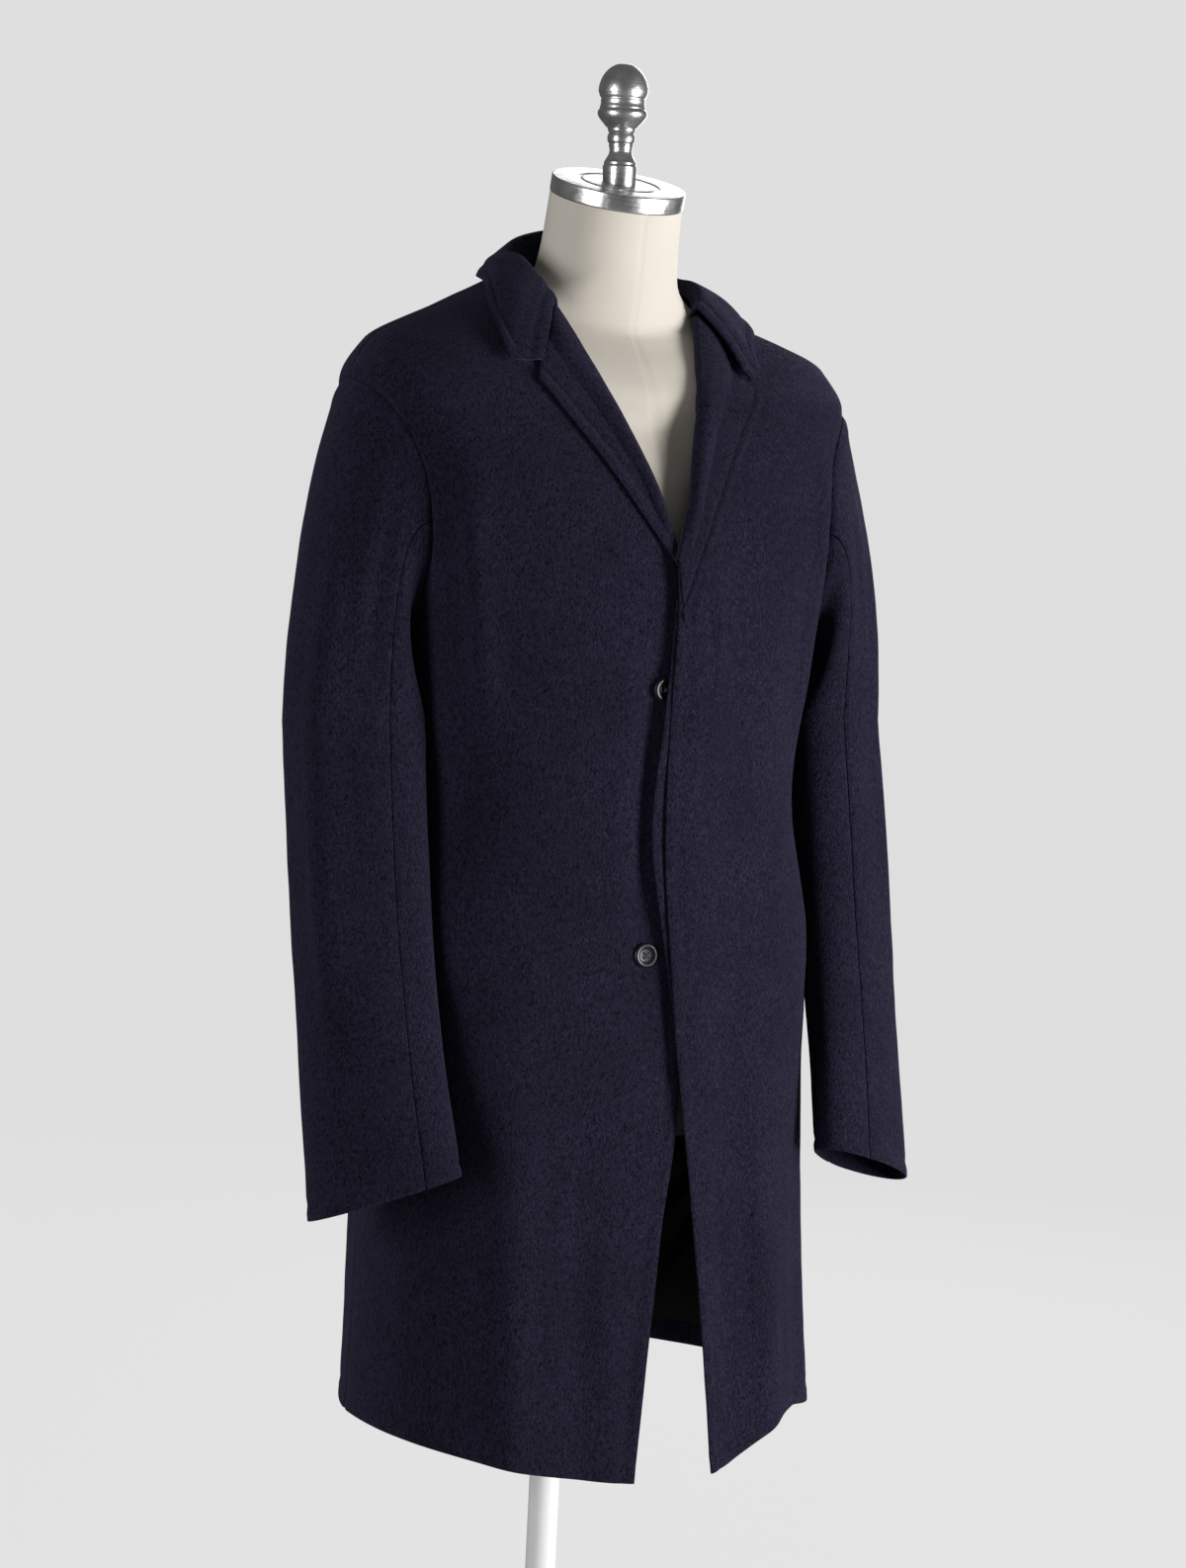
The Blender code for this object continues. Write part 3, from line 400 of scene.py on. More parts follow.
CAMERA_SIDE = -28.0
CAMERA_PITCH = 6.789
CAMERA_ROLL = 2.8
CAMERA_DISTANCE = 2.9
CAMERA_SHIFT = 0.0136
CAMERA_HEIGHT = 1.44
CAMERA_LENS = 82.94

SOFT_BOXES = (
    # name          place                 aim                width height power
    ("key",        (1.80, -2.15, 0.95),  (0.0, 0.0, 1.10),  1.0,  1.5,  122.0),
    ("fill",       (-2.70, -0.90, 1.10), (0.0, 0.0, 1.10),  1.0,  2.0,   46.0),
    ("back",       (1.90, 2.30, 1.90),   (0.0, 0.0, 1.15),  1.4,  2.2,   30.0),
)


# ---- curves and the garment surface ----


def smooth(knots, values, at):
    """The value at each place `at` of a smooth curve through the knots, with no overshoot."""
    knots = np.asarray(knots, float)
    values = np.asarray(values, float)
    at = np.clip(at, knots[0], knots[-1])
    steps = np.diff(knots)
    slopes = np.diff(values) / steps
    product = slopes[:-1] * slopes[1:]
    total = np.where(product > 0, slopes[:-1] + slopes[1:], 1.0)
    inner = np.where(product > 0, 2 * product / total, 0.0)
    bends = np.concatenate([slopes[:1], inner, slopes[-1:]])
    span = np.clip(np.searchsorted(knots, at, side="right") - 1, 0, len(steps) - 1)
    t = (at - knots[span]) / steps[span]
    start, end = values[span], values[span + 1]
    leave, arrive = bends[span] * steps[span], bends[span + 1] * steps[span]
    return (
        start * (2 * t**3 - 3 * t**2 + 1)
        + leave * (t**3 - 2 * t**2 + t)
        + end * (3 * t**2 - 2 * t**3)
        + arrive * (t**3 - t**2)
    )


def ease(share):
    """0 to 1 with a soft start and end."""
    share = np.clip(share, 0, 1)
    return share * share * (3 - 2 * share)


def grown(at, start, length):
    """0 before the start, then softly up to 1 over the length."""
    return ease((at - start) / length)


def bump(distance, width):
    return np.exp(-((distance / width) ** 2))


def column(table, place):
    return np.array([row[place] for row in table], float)


def girth(place, height):
    """One column of GIRTHS, by its place after the name, at the given side heights."""
    return smooth(column(GIRTHS, 1), column(GIRTHS, place), height)


def left_drop(x, height):
    """How much lower the left shoulder and the left of the neck hang than the right."""
    shoulder = SHOULDER_TILT * x * grown(height, *TILT_UP) * grown(x, *TILT_OUT)
    return shoulder + NECK_DROP * bump(x - DROP_MIDDLE, DROP_WIDTH) * grown(height, *DROP_UP)


def bare_surface(turn, height):
    """Points of the garment surface; turn is 0 at the front and grows to the wearer's left."""
    turn, height = np.broadcast_arrays(np.asarray(turn, float), np.asarray(height, float))
    sine, cosine = np.sin(turn), np.cos(turn)
    front = cosine > 0
    depth = np.where(front, girth(6, height), girth(7, height))
    level = np.where(front, girth(2, height), girth(3, height))
    power = girth(8, height)
    across = (np.abs(sine) / girth(4, height)) ** power
    reach = (across + (np.abs(cosine) / depth) ** power) ** (-1 / power)
    x = reach * sine
    y = girth(5, height) - reach * cosine
    level = height + (level - height) * cosine**2 - left_drop(x, height)
    return np.stack([x, y, level], axis=-1)


def surface_normal(turn, height):
    step = 1e-4
    along = bare_surface(turn + step, height) - bare_surface(turn - step, height)
    top = np.minimum(height + step, NECK)
    up = bare_surface(turn, top) - bare_surface(turn, top - 2 * step)
    normal = np.cross(along, up)
    return normal / np.linalg.norm(normal, axis=-1, keepdims=True)


def folds_at(turn, height):
    """How far all the folds together stand out; those that reach the hem grow down to it."""
    out = np.zeros(np.broadcast(turn, height).shape)
    for _, middle, drift, top, foot, width, rise in FOLDS:
        down = np.clip((top - height) / (top - foot), 0, 1)
        away = (np.degrees(turn) - middle - drift * down + 180) % 360 - 180
        share = ease(down * 1.6) if foot < HEM else ease(down * 3) * ease((1 - down) * 3)
        out = out + rise * bump(away, width) * share
    return out


def garment(turn, height, out=0.0):
    """Points `out` metres outside the garment surface with its folds."""
    turn, height = np.broadcast_arrays(np.asarray(turn, float), np.asarray(height, float))
    reach = (out + folds_at(turn, height))[..., None]
    points = bare_surface(turn, height) + surface_normal(turn, height) * reach
    low = ease((HEM + LEFT_HEM_HEIGHT - height) / LEFT_HEM_HEIGHT)
    points[..., 2] += LEFT_HEM_LIFT * low * bump(np.degrees(turn) - LEFT_HEM_TURN, LEFT_HEM_WIDTH)
    return points


def side_height(turn, level):
    """The side height whose girth passes through the height `level` at each turn."""
    turn, level = np.broadcast_arrays(np.asarray(turn, float), np.asarray(level, float))
    heights = np.linspace(HEM, NECK, 240)
    found = [
        np.interp(z, bare_surface(np.full(len(heights), t), heights)[:, 2], heights)
        for t, z in zip(turn.ravel(), level.ravel())
    ]
    return np.array(found).reshape(turn.shape)


def from_front(x, level, side):
    """Turn and side height of the point seen from the front `x` out to a side, at height `level`."""
    x, level = np.broadcast_arrays(np.asarray(x, float), np.asarray(level, float))
    low, high = np.full(x.shape, -math.pi / 4), np.full(x.shape, math.pi / 2)
    for _ in range(16):
        turn = (low + high) / 2
        height = side_height(turn * side, level)
        short = bare_surface(turn * side, height)[..., 0] * side < x
        low, high = np.where(short, turn, low), np.where(short, high, turn)
    return turn, height


# ---- the lines that the panels are cut on ----


def armhole(angle, side, shrink=0.0):
    """Turn and side height on a side's armhole; angle is 0 on top, a quarter at its front."""
    middle = (SHOULDER_POINT + UNDERARM) / 2
    radius = (SHOULDER_POINT - UNDERARM) / 2 - shrink
    sine = np.sin(angle)
    reach = np.where(sine > 0, math.pi / 2 - ARMHOLE_FRONT[side], ARMHOLE_BACK - math.pi / 2)
    lean = (SIDE_SEAM - math.pi / 2) * (1 - np.cos(angle)) / 2
    turn = math.pi / 2 + lean * (1 - np.abs(sine) / 2) - sine * (reach - shrink / ARMHOLE_REACH)
    return turn, middle + radius * np.cos(angle)


def armhole_angles():
    """Angles from the underarm up to the shoulder point, shared by bodies and sleeves."""
    return np.linspace(math.pi, 0, ARMHOLE_STEPS + 1)


def front_edge(height, side):
    """Turn of a front's edge at each height, for side 1 (left) or -1 (right)."""
    x = smooth(column(FRONT_EDGES, 1), column(FRONT_EDGES, 2 if side > 0 else 3), height)
    return np.arctan2(x, girth(6, height))


def between(start, end, share, side, bow=0.0):
    """Turn and side height on the line, seen from the front, between two places of a side."""
    (x, level), (end_x, end_level) = start[side], end[side]
    return from_front(x + (end_x - x) * share - bow, level + (end_level - level) * share, side)


def roll_line(share, side):
    """Turn and side height on the straight line on which a lapel rolls, from its break."""
    return between(BREAK_POINT, GORGE_END, share, side)


def front_neckline(share, side):
    """Turn and side height of a front's neckline, from the gorge to the shoulder seam."""
    turn, height = roll_line(np.array([1.0]), side)
    return turn + (math.pi / 2 - turn) * share, height + (NECK - height) * (1 - (1 - share) ** 2)


def neckline(turn, side):
    """Side height of the whole neckline at each turn."""
    start = roll_line(np.array([1.0]), side)[0]
    share = np.clip((turn - start) / (math.pi / 2 - start), 0, 1)
    return front_neckline(share, side)[1]


def lapel_edge(share, side):
    """Turn and side height of a lapel's free edge, from its foot to its corner."""
    bow = LAPEL_BOW[side] * np.sin(math.pi * share**0.85)
    return between(LAPEL_FOOT, LAPEL_CORNER, share, side, bow)


def gorge_line(share, side):
    """Turn and side height from the roll line (0) to the lapel's corner (1)."""
    start, end = roll_line(np.array([1.0]), side), lapel_edge(np.array([1.0]), side)
    return start[0] + (end[0] - start[0]) * share, start[1] + (end[1] - start[1]) * share


def overlap_lift(turn, height):
    """How far the left front lies over the right one: full at its edge, none well above the break."""
    near = ease((OVERLAP_REACH - turn) / OVERLAP_SLOPE)
    return OVERLAP_LIFT * near * ease((BREAK_POINT[1][1] + OVERLAP_RUN_OUT - height) / OVERLAP_RUN_OUT)


def lapel_out(share, up):
    """How far a lapel's underside stands off its front, from the roll line to its edge.

    Its roll grows from nothing at the break (`up` 0) to its whole depth a third of the way up.
    """
    roll = LAPEL_ROLL * np.sin(np.clip(share / LAPEL_ROLL_SHARE, 0, 1) * math.pi) * ease(up * 3)
    return CLOTH + SEAM_GAP + roll + LAPEL_SPREAD * share


def blend(start, end, shares):
    """Straight steps in turn and height between two ends, for every row of the panel."""
    turn = start[0][:, None] + (end[0] - start[0])[:, None] * shares
    height = start[1][:, None] + (end[1] - start[1])[:, None] * shares
    return turn, height


def on_side(turn, height, out, side):
    """Points of a panel drawn for the left side, or mirrored in turn for the right one."""
    points = garment(turn * side, height, out)
    return points if side > 0 else points[:, ::-1]


def label(side):
    return "left" if side > 0 else "right"


def front_grid(side):
    """Turns and heights of a front: from its edge, roll line or neckline to its side or armhole."""
    seam = np.linspace(HEM, UNDERARM, LOWER_ROWS)
    edge_top = np.linspace(UNDERARM, BREAK_POINT[side][1], EDGE_STEPS + 1)
    level = np.concatenate([seam, edge_top[1:]])
    rolled = roll_line(np.linspace(0, 1, ROLL_STEPS + 1)[1:], side)
    neck = front_neckline(np.linspace(0, 1, NECK_STEPS + 1)[1:], side)
    hole = armhole(armhole_angles()[1:], side)
    start = (
        np.concatenate([front_edge(level, side) * side, rolled[0], neck[0]]),
        np.concatenate([level, rolled[1], neck[1]]),
    )
    end = (
        np.concatenate([SIDE_SEAM - SEAM_GAP / girth(4, seam), hole[0]]),
        np.concatenate([seam, hole[1]]),
    )
    turn, height = blend(start, end, np.linspace(0, 1, FRONT_STEPS + 1))
    turn[-1] -= SEAM_GAP / 2 / girth(4, height[-1])
    return turn, height


def back_grid():
    """Turns and heights of the back's left half: from side seam or armhole to the middle."""
    steps = np.arange(SHOULDER_STEPS + BACK_NECK_STEPS + 1)
    across = steps / steps[-1]
    seam = np.linspace(HEM, UNDERARM, LOWER_ROWS)
    lower_turn = np.tile(SIDE_SEAM + (math.pi - SIDE_SEAM) * across, (LOWER_ROWS, 1))
    lower_height = np.tile(seam[:, None], (1, len(steps)))
    along_seam = np.clip(steps / SHOULDER_STEPS, 0, 1)
    along_neck = np.clip((steps - SHOULDER_STEPS) / BACK_NECK_STEPS, 0, 1)
    top_height = SHOULDER_POINT + (NECK - SHOULDER_POINT) * along_seam
    seam_turn = math.pi / 2 + SEAM_GAP / 2 / girth(4, top_height)
    top_turn = seam_turn + (math.pi - seam_turn) * along_neck
    hole_turn, hole_height = armhole(2 * math.pi - armhole_angles(), 1)
    hole_turn[-1] = top_turn[0]
    middle_height = np.linspace(UNDERARM, NECK, ARMHOLE_STEPS + 1)
    turn = patch(hole_turn, np.full(ARMHOLE_STEPS + 1, math.pi), lower_turn[-1], top_turn)
    height = patch(hole_height, middle_height, lower_height[-1], top_height)
    return np.concatenate([lower_turn, turn[1:]]), np.concatenate([lower_height, height[1:]])


def patch(left, right, bottom, top):
    """Values over a grid whose four edges are given: rows from bottom to top, across left to right."""
    up = np.linspace(0, 1, len(left))[:, None]
    over = np.linspace(0, 1, len(bottom))[None, :]
    sides = left[:, None] * (1 - over) + right[:, None] * over
    ends = bottom[None, :] * (1 - up) + top[None, :] * up
    lower = bottom[0] * (1 - over) + bottom[-1] * over
    upper = top[0] * (1 - over) + top[-1] * over
    return sides + ends - lower * (1 - up) - upper * up


def sleeve_section(row, angle, side):
    """Points round one section of a sleeve; angle is 0 at its outer side, a quarter at its front."""
    _, out, forward, up, long, short, turn, front, inner = row
    heading = math.pi - math.radians(turn)
    along = long * np.cos(angle - heading)
    across = short * np.sin(angle - heading)
    x = along * math.cos(heading) - across * math.sin(heading)
    y = along * math.sin(heading) + across * math.cos(heading)
    return np.stack([side * (out + x), -(forward + y), up + front * y - inner * x], axis=-1)


def clear_of_body(points, gap):
    """Points pressed flat where they would come closer than `gap` to the body panels."""
    level = points[:, 2]
    middle = girth(5, level)
    turn = np.arctan2(points[:, 0], middle - points[:, 1])
    wall = garment(turn, side_height(turn, level), CLOTH + gap)
    reach = np.hypot(points[:, 0], middle - points[:, 1])
    needed = np.hypot(wall[:, 0], middle - wall[:, 1])
    scale = (np.maximum(reach, needed) / reach)[:, None]
    centre = np.stack([0.0 * middle, middle, level], axis=-1)
    return centre + (points - centre) * scale


def sleeve_surface(side, angle, drops, inside=0.0):
    """The sleeve's outer points: a row for each drop, from the armhole (0) to the cuff (1)."""
    turn, height = armhole(angle, side, -SEAM_GAP)
    start = garment(turn * side, height, CLOTH)
    normal = surface_normal(turn * side, height)
    hole = garment(np.full(1, math.pi / 2 * side), np.full(1, (SHOULDER_POINT + UNDERARM) / 2))[0]
    top = (1 + np.cos(angle))[:, None] / 2
    inward = hole - start
    inward /= np.linalg.norm(inward, axis=-1, keepdims=True)
    leave = inward * (0.85 * top) + normal * (0.95 - 0.45 * top)
    table = SLEEVES[side]
    sections = np.array([sleeve_section(row, angle, side) for row in table])
    reach = np.linalg.norm(sections[0] - start, axis=-1, keepdims=True) * 0.9
    knots = np.cumsum(SLEEVE_LENGTHS) / sum(SLEEVE_LENGTHS)
    flat = sections.reshape(len(table), -1)
    rows = []
    for drop in drops:
        t = drop / knots[0]
        if t <= 1:
            row = (
                start * (2 * t**3 - 3 * t**2 + 1)
                + leave * reach * (t**3 - 2 * t**2 + t)
                + sections[0] * (3 * t**2 - 2 * t**3)
                + np.array([0.0, 0.0, -1.0]) * reach * (t**3 - t**2)
            )
        else:
            row = np.array([smooth(knots, flat[:, i], drop) for i in range(flat.shape[1])])
            row = row.reshape(-1, 3)
        middle = side * smooth(knots, column(table, 1), drop)
        away = row - np.array([middle, -smooth(knots, column(table, 2), drop), 0.0])
        away[:, 2] = 0.0
        away /= np.linalg.norm(away, axis=-1, keepdims=True)
        row = row + away * sleeve_folds(angle, drop)[:, None]
        if drop > 0:
            row = clear_of_body(row, SLEEVE_CLEAR * ease(drop / 0.10))
        rows.append(row - away * inside)
    return np.array(rows)


def sleeve_folds(angle, drop):
    out = np.zeros_like(angle)
    for _, middle, width, top, foot, rise in SLEEVE_FOLDS:
        away = (np.degrees(angle) - middle + 180) % 360 - 180
        down = (drop - top) / (foot - top)
        out = out + rise * bump(away, width) * ease(down * 3) * ease((1 - down) * 3)
    return out


# ---- relief: creases, seams, rolled edges and the cloth's own unevenness ----


def grid_normals(points):
    """Outward normals of a grid whose rows run up and whose columns run to the left."""
    across = np.gradient(points, axis=1)
    up = np.gradient(points, axis=0)
    normal = np.cross(across, up)
    return normal / np.maximum(np.linalg.norm(normal, axis=-1, keepdims=True), 1e-12)


def edge_distances(points):
    """How far each point of a grid is from its first and last column and its first and last row."""
    steps = np.linalg.norm(np.diff(points, axis=1), axis=-1)
    first = np.concatenate([np.zeros((len(points), 1)), np.cumsum(steps, axis=1)], axis=1)
    rises = np.linalg.norm(np.diff(points, axis=0), axis=-1)
    foot = np.concatenate([np.zeros((1, points.shape[1])), np.cumsum(rises, axis=0)], axis=0)
    return {"first": first, "last": first[:, -1:] - first, "foot": foot, "top": foot[-1:] - foot}


def unevenness(points, size, depth, seed):
    """Soft hills and hollows `size` metres long and up to about `depth` high."""
    moved = points.reshape(-1, 3) / size + seed
    heights = [noise.noise(Vector(map(float, place))) for place in moved]
    return np.array(heights).reshape(points.shape[:-1]) * depth


def body_creases(turn, height):
    """How far the listed creases of the body's cloth stand out."""
    degrees = np.degrees(turn)
    out = np.zeros(np.broadcast(turn, height).shape)
    for _, start, top, end, foot, bow, width, rise in BODY_CREASES:
        down = np.clip((top - height) / (top - foot), 0, 1)
        middle = start + (end - start) * down + bow * np.sin(math.pi * down)
        across = (degrees - middle) * math.pi / 180 * BODY_RADIUS
        out = out + rise * bump(across, width) * ease(down * 3.5) * ease((1 - down) * 2.5)
    return out


def fly_relief(turn, height):
    """The left front stands a little proud over the fly, inside the line that stitches it down."""
    reach = FLY_LINE * np.sqrt(np.clip((height - FLY_LINE_FOOT) / FLY_LINE_TURN, 0, 1))
    past_edge = (turn - front_edge(height, 1)) * girth(6, height)
    shown = ease((FLY_LINE_TOP - height) / 0.05) * ease((height - FLY_LINE_FOOT) / 0.01)
    band = ease((reach - past_edge) / 0.004)
    groove = bump(past_edge - reach - 0.0006, 0.0011)
    return (FLY_PROUD * band - FLY_GROOVE * groove) * shown


def dress(points, seams=(), folded=(), out=0.0, seed=0.0):
    """A grid with its creases, sunk seams, swollen folded edges and uneven face."""
    away = edge_distances(points)
    relief = out + unevenness(points, *BROAD_HILLS, seed) + unevenness(points, *SMALL_HILLS, seed)
    for edge in seams:
        pucker = unevenness(points, *PUCKERS, seed) * bump(away[edge] - PUCKERS_AT, PUCKERS_WIDTH)
        relief = relief - SEAM_SINK * bump(away[edge], SEAM_WIDTH) + pucker
    for edge in folded:
        relief = relief + EDGE_SWELL * bump(away[edge] - EDGE_SWELL_AT, EDGE_SWELL_WIDTH)
        relief = relief - EDGE_PRESS * bump(away[edge] - EDGE_PRESS_AT, EDGE_PRESS_WIDTH)
    return points + grid_normals(points) * np.asarray(relief)[..., None]


# ---- making pieces ----


def add_piece(name, mesh, finish, nodes=()):
    """A piece on the one body, in its finish, standing for the solids named."""
    made = bpy.data.objects.new(name, mesh)
    bpy.context.scene.collection.objects.link(made)
    mesh.materials.append(FINISHES[finish]())
    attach(made, "root")
    if nodes:
        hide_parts(*nodes)
    return made


def grid_mesh(name, points, closed=False):
    """A mesh through a grid of points, with texture places in metres along its rows and columns."""
    rows, columns = points.shape[:2]
    wrap = columns if closed else columns - 1
    faces = [
        (r * columns + c, r * columns + (c + 1) % columns, (r + 1) * columns + (c + 1) % columns,
         (r + 1) * columns + c)
        for r in range(rows - 1)
        for c in range(wrap)
    ]
    mesh = bpy.data.meshes.new(name)
    mesh.from_pydata([tuple(map(float, p)) for p in points.reshape(-1, 3)], [], faces)
    around = np.concatenate([points, points[:, :1]], axis=1) if closed else points
    away = edge_distances(around)
    layer = mesh.uv_layers.new(name="cloth").data
    corner = 0
    for r in range(rows - 1):
        for c in range(wrap):
            for row, column_at in ((r, c), (r, c + 1), (r + 1, c + 1), (r + 1, c)):
                layer[corner].uv = (away["first"][row, column_at], away["foot"][row, column_at])
                corner += 1
    mesh.shade_smooth()
    return mesh


def cloth(name, node, points, finish, wall, closed=False):
    """A cloth piece: a thin shell with rounded edges on its solid's form."""
    made = add_piece(name, grid_mesh(name, points, closed), finish, [node])
    solidify = made.modifiers.new("wall", "SOLIDIFY")
    solidify.thickness = abs(wall)
    solidify.offset = 1.0 if wall > 0 else -1.0
    rounding = made.modifiers.new("rounded edge", "BEVEL")
    rounding.limit_method = "ANGLE"
    rounding.angle_limit = EDGE_ANGLE
    rounding.width = abs(wall) * EDGE_ROUNDING
    rounding.segments = 3
    return made


def turned_mesh(name, profile, around=96):
    """A round piece from its profile, running from the axis at its top down its outer side."""
    angle = np.linspace(0, 2 * math.pi, around, endpoint=False)
    radii = np.array([radius for radius, _ in profile])
    levels = np.array([level for _, level in profile])
    ring = np.stack([np.cos(angle), np.sin(angle), 0 * angle], axis=-1)
    points = ring[None] * np.maximum(radii, 1e-5)[:, None, None]
    points[..., 2] = levels[:, None]
    mesh = grid_mesh(name, points[::-1], closed=True)
    shape = bmesh.new()
    shape.from_mesh(mesh)
    bmesh.ops.remove_doubles(shape, verts=shape.verts, dist=4e-5)
    bmesh.ops.recalc_face_normals(shape, faces=shape.faces)
    shape.to_mesh(mesh)
    shape.free()
    mesh.shade_smooth()
    mesh.set_sharp_from_angle(angle=SHARP_ANGLE)
    return mesh


def rounded(profile, radius=0.0006):
    """A profile whose inner corners are cut back into short arcs."""
    made = [profile[0]]
    for before, corner, after in zip(profile, profile[1:], profile[2:]):
        corner = Vector(corner)
        back, ahead = Vector(before) - corner, Vector(after) - corner
        reach = min(radius, back.length * 0.45, ahead.length * 0.45)
        start, end = corner + back.normalized() * reach, corner + ahead.normalized() * reach
        for t in (0.0, 0.25, 0.5, 0.75, 1.0):
            made.append(tuple(start * (1 - t) ** 2 + corner * 2 * t * (1 - t) + end * t * t))
    return made + [profile[-1]]


# ---- the coat's panels ----


def front(side):
    turn, height = front_grid(side)
    start = LOWER_ROWS + EDGE_STEPS - 1
    roll = slice(start, start + ROLL_STEPS + 1)
    turn[roll, 0] += LAPEL_WRAP / girth(6, height[roll, 0])
    lift = overlap_lift(turn, height) if side > 0 else 0.0 * turn
    if side > 0:
        lift = lift + fly_relief(turn, height)
    lift = lift + body_creases(turn * side, height)
    points = on_side(turn, height, lift, side)
    edge, seam = ("first", "last") if side > 0 else ("last", "first")
    points = dress(points, seams=(seam, "top"), folded=(edge, "foot"))
    with_pieces = [] if side > 0 else [button(number) for number in range(1, len(BUTTONS) + 1)]
    cloth(f"{label(side)}_front_cloth", "front_" + label(side), points, "navy_wool", CLOTH)


def back():
    turn, height = back_grid()
    left = garment(turn, height, body_creases(turn, height))
    right = garment(-turn, height, body_creases(-turn, height))
    points = np.concatenate([left, right[:, -2::-1]], axis=1)
    points = dress(points, seams=("first", "last", "top"), folded=("foot",))
    cloth("back_cloth", "back", points, "navy_wool", CLOTH)


def back_lining():
    turn, height = back_grid()
    rows = int(np.searchsorted(height[:LOWER_ROWS, 0], LINING_TOP)) + 1
    turn, height = turn[:rows, LINING_FIRST_COLUMN:], height[:rows, LINING_FIRST_COLUMN:]
    height = LINING_FOOT + (height - height[0]) * (LINING_TOP - LINING_FOOT) / (LINING_TOP - HEM)
    ripples = 1 + np.sin(turn * LINING_RIPPLES + LINING_SWAY * np.sin(height * LINING_SWAYS))
    away = LINING_SLACK * ripples * grown(height, LINING_FOOT, LINING_START)
    left, right = garment(turn, height, -SEAM_GAP - away), garment(-turn, height, -SEAM_GAP - away)
    points = np.concatenate([left, right[:, -2::-1]], axis=1)
    points = dress(points, folded=("foot",), seed=4.0)
    cloth("back_lining_cloth", "back_lining", points, "black_lining", -LINING)


def lapel(side):
    """The turned-back facing, which wraps over the front's edge along the roll line."""
    rows = np.linspace(0, 1, LAPEL_ROWS)
    start, end = roll_line(rows, side), lapel_edge(rows, side)
    width = np.hypot((end[0] - start[0]) * CHEST_DEPTH, end[1] - start[1])
    first = (LAPEL_WRAP / width)[:, None]
    shares = first + (1 - first) * np.linspace(0, 1, LAPEL_COLUMNS)[None, :]
    turn, height = blend(start, end, shares)
    lift = overlap_lift(turn, height) if side > 0 else 0.0 * turn
    face = garment(turn * side, height, lapel_out(shares, rows[:, None]) + lift)
    base = garment(start[0] * side, start[1], lift[:, 0])
    normal = surface_normal(start[0] * side, start[1])
    open_way = face[:, 0] - face[:, 1]
    open_way -= normal * np.sum(open_way * normal, axis=-1, keepdims=True)
    open_way /= np.linalg.norm(open_way, axis=-1, keepdims=True)
    inner = base - normal * SEAM_GAP - open_way * LAPEL_WRAP
    middle, half = (inner + face[:, 0]) / 2, (face[:, 0] - inner) / 2
    bulge = np.linalg.norm(half, axis=-1, keepdims=True)
    angles = np.linspace(0, math.pi, WRAP_COLUMNS)[:-1]
    wrap = [middle - half * math.cos(t) + open_way * bulge * math.sin(t) for t in angles]
    points = np.concatenate([np.stack(wrap, axis=1), face], axis=1)
    points = points if side > 0 else points[:, ::-1]
    edge = "last" if side > 0 else "first"
    points = dress(points, folded=(edge,), seams=("top",), seed=7.0)
    cloth(f"{label(side)}_lapel_cloth", "lapel_" + label(side), points, "navy_wool", CLOTH)


def cornered(knots, values, at):
    """Straight to the second knot, so that a corner stays there, and a smooth curve after it."""
    first = values[0] + (values[1] - values[0]) * (at - knots[0]) / (knots[1] - knots[0])
    return np.where(at < knots[1], first, smooth(knots[1:], values[1:], at))


def collar_half(at, shares, side):
    """The collar's hidden side from its front end to the middle of the back."""
    knots = np.radians(column(COLLAR, 0))
    knots[:2] = front_neckline(np.array([0.0, COLLAR_CORNER_SHARE]), side)[0]
    height = neckline(at, side)
    foot = over_neck(at * side, height, -2 * SEAM_GAP, 0.0 * at)
    rise = smooth(knots, column(COLLAR, 1), at)
    fold = over_neck(at * side, height, rise, smooth(knots, column(COLLAR, 2), at))
    place = 3 if side > 0 else 5
    notch = gorge_line(NOTCH_SHARE[side], side)
    edge_turns = np.radians(column(COLLAR, place))
    edge_heights = side_height(edge_turns[1:] * side, column(COLLAR, place + 1)[1:])
    edge_turns[0] = notch[0][0]
    edge_heights = np.concatenate([notch[1] + 4 * SEAM_GAP, edge_heights])
    edge_turn, edge_height = cornered(knots, edge_turns, at), cornered(knots, edge_heights, at)
    edge = garment(edge_turn * side, edge_height, COLLAR_EDGE_OUT)
    outward = np.cross(edge - fold, np.gradient(edge, axis=0))
    outward /= np.linalg.norm(outward, axis=-1, keepdims=True)
    away = np.sum(outward * surface_normal(edge_turn * side, edge_height), axis=-1, keepdims=True)
    middle = (fold + edge) / 2 + outward * np.sign(away) * COLLAR_BULGE
    places = np.array([0.0, 0.30, 0.62, 1.0])
    lines = np.stack([foot, fold, middle, edge]).reshape(4, -1)
    across = np.array([smooth(places, lines[:, i], shares) for i in range(lines.shape[1])])
    return across.reshape(len(at), 3, len(shares)).transpose(0, 2, 1)


def over_neck(turn, height, rise, out):
    """A point `rise` above the neckline, `out` off the upright wall that stands on it."""
    upright = np.stack([np.sin(turn), -np.cos(turn), np.zeros_like(turn)], axis=-1)
    point = bare_surface(turn, height) + upright * np.asarray(out)[..., None]
    point[..., 2] += rise
    return point


def collar():
    back_turns = np.linspace(math.pi / 2, math.pi, COLLAR_BACK_STEPS)[1:]
    shares = np.linspace(0, 1, COLLAR_COLUMNS)
    halves = []
    for side in (1, -1):
        front_turns = front_neckline(np.linspace(0, 1, COLLAR_FRONT_STEPS), side)[0]
        halves.append(collar_half(np.concatenate([front_turns, back_turns]), shares, side))
    points = np.concatenate([halves[0], halves[1][-2::-1]])
    points = dress(points, folded=("last", "foot", "top"), seed=11.0)
    cloth("collar_cloth", "collar", points, "navy_wool", COLLAR_CLOTH)


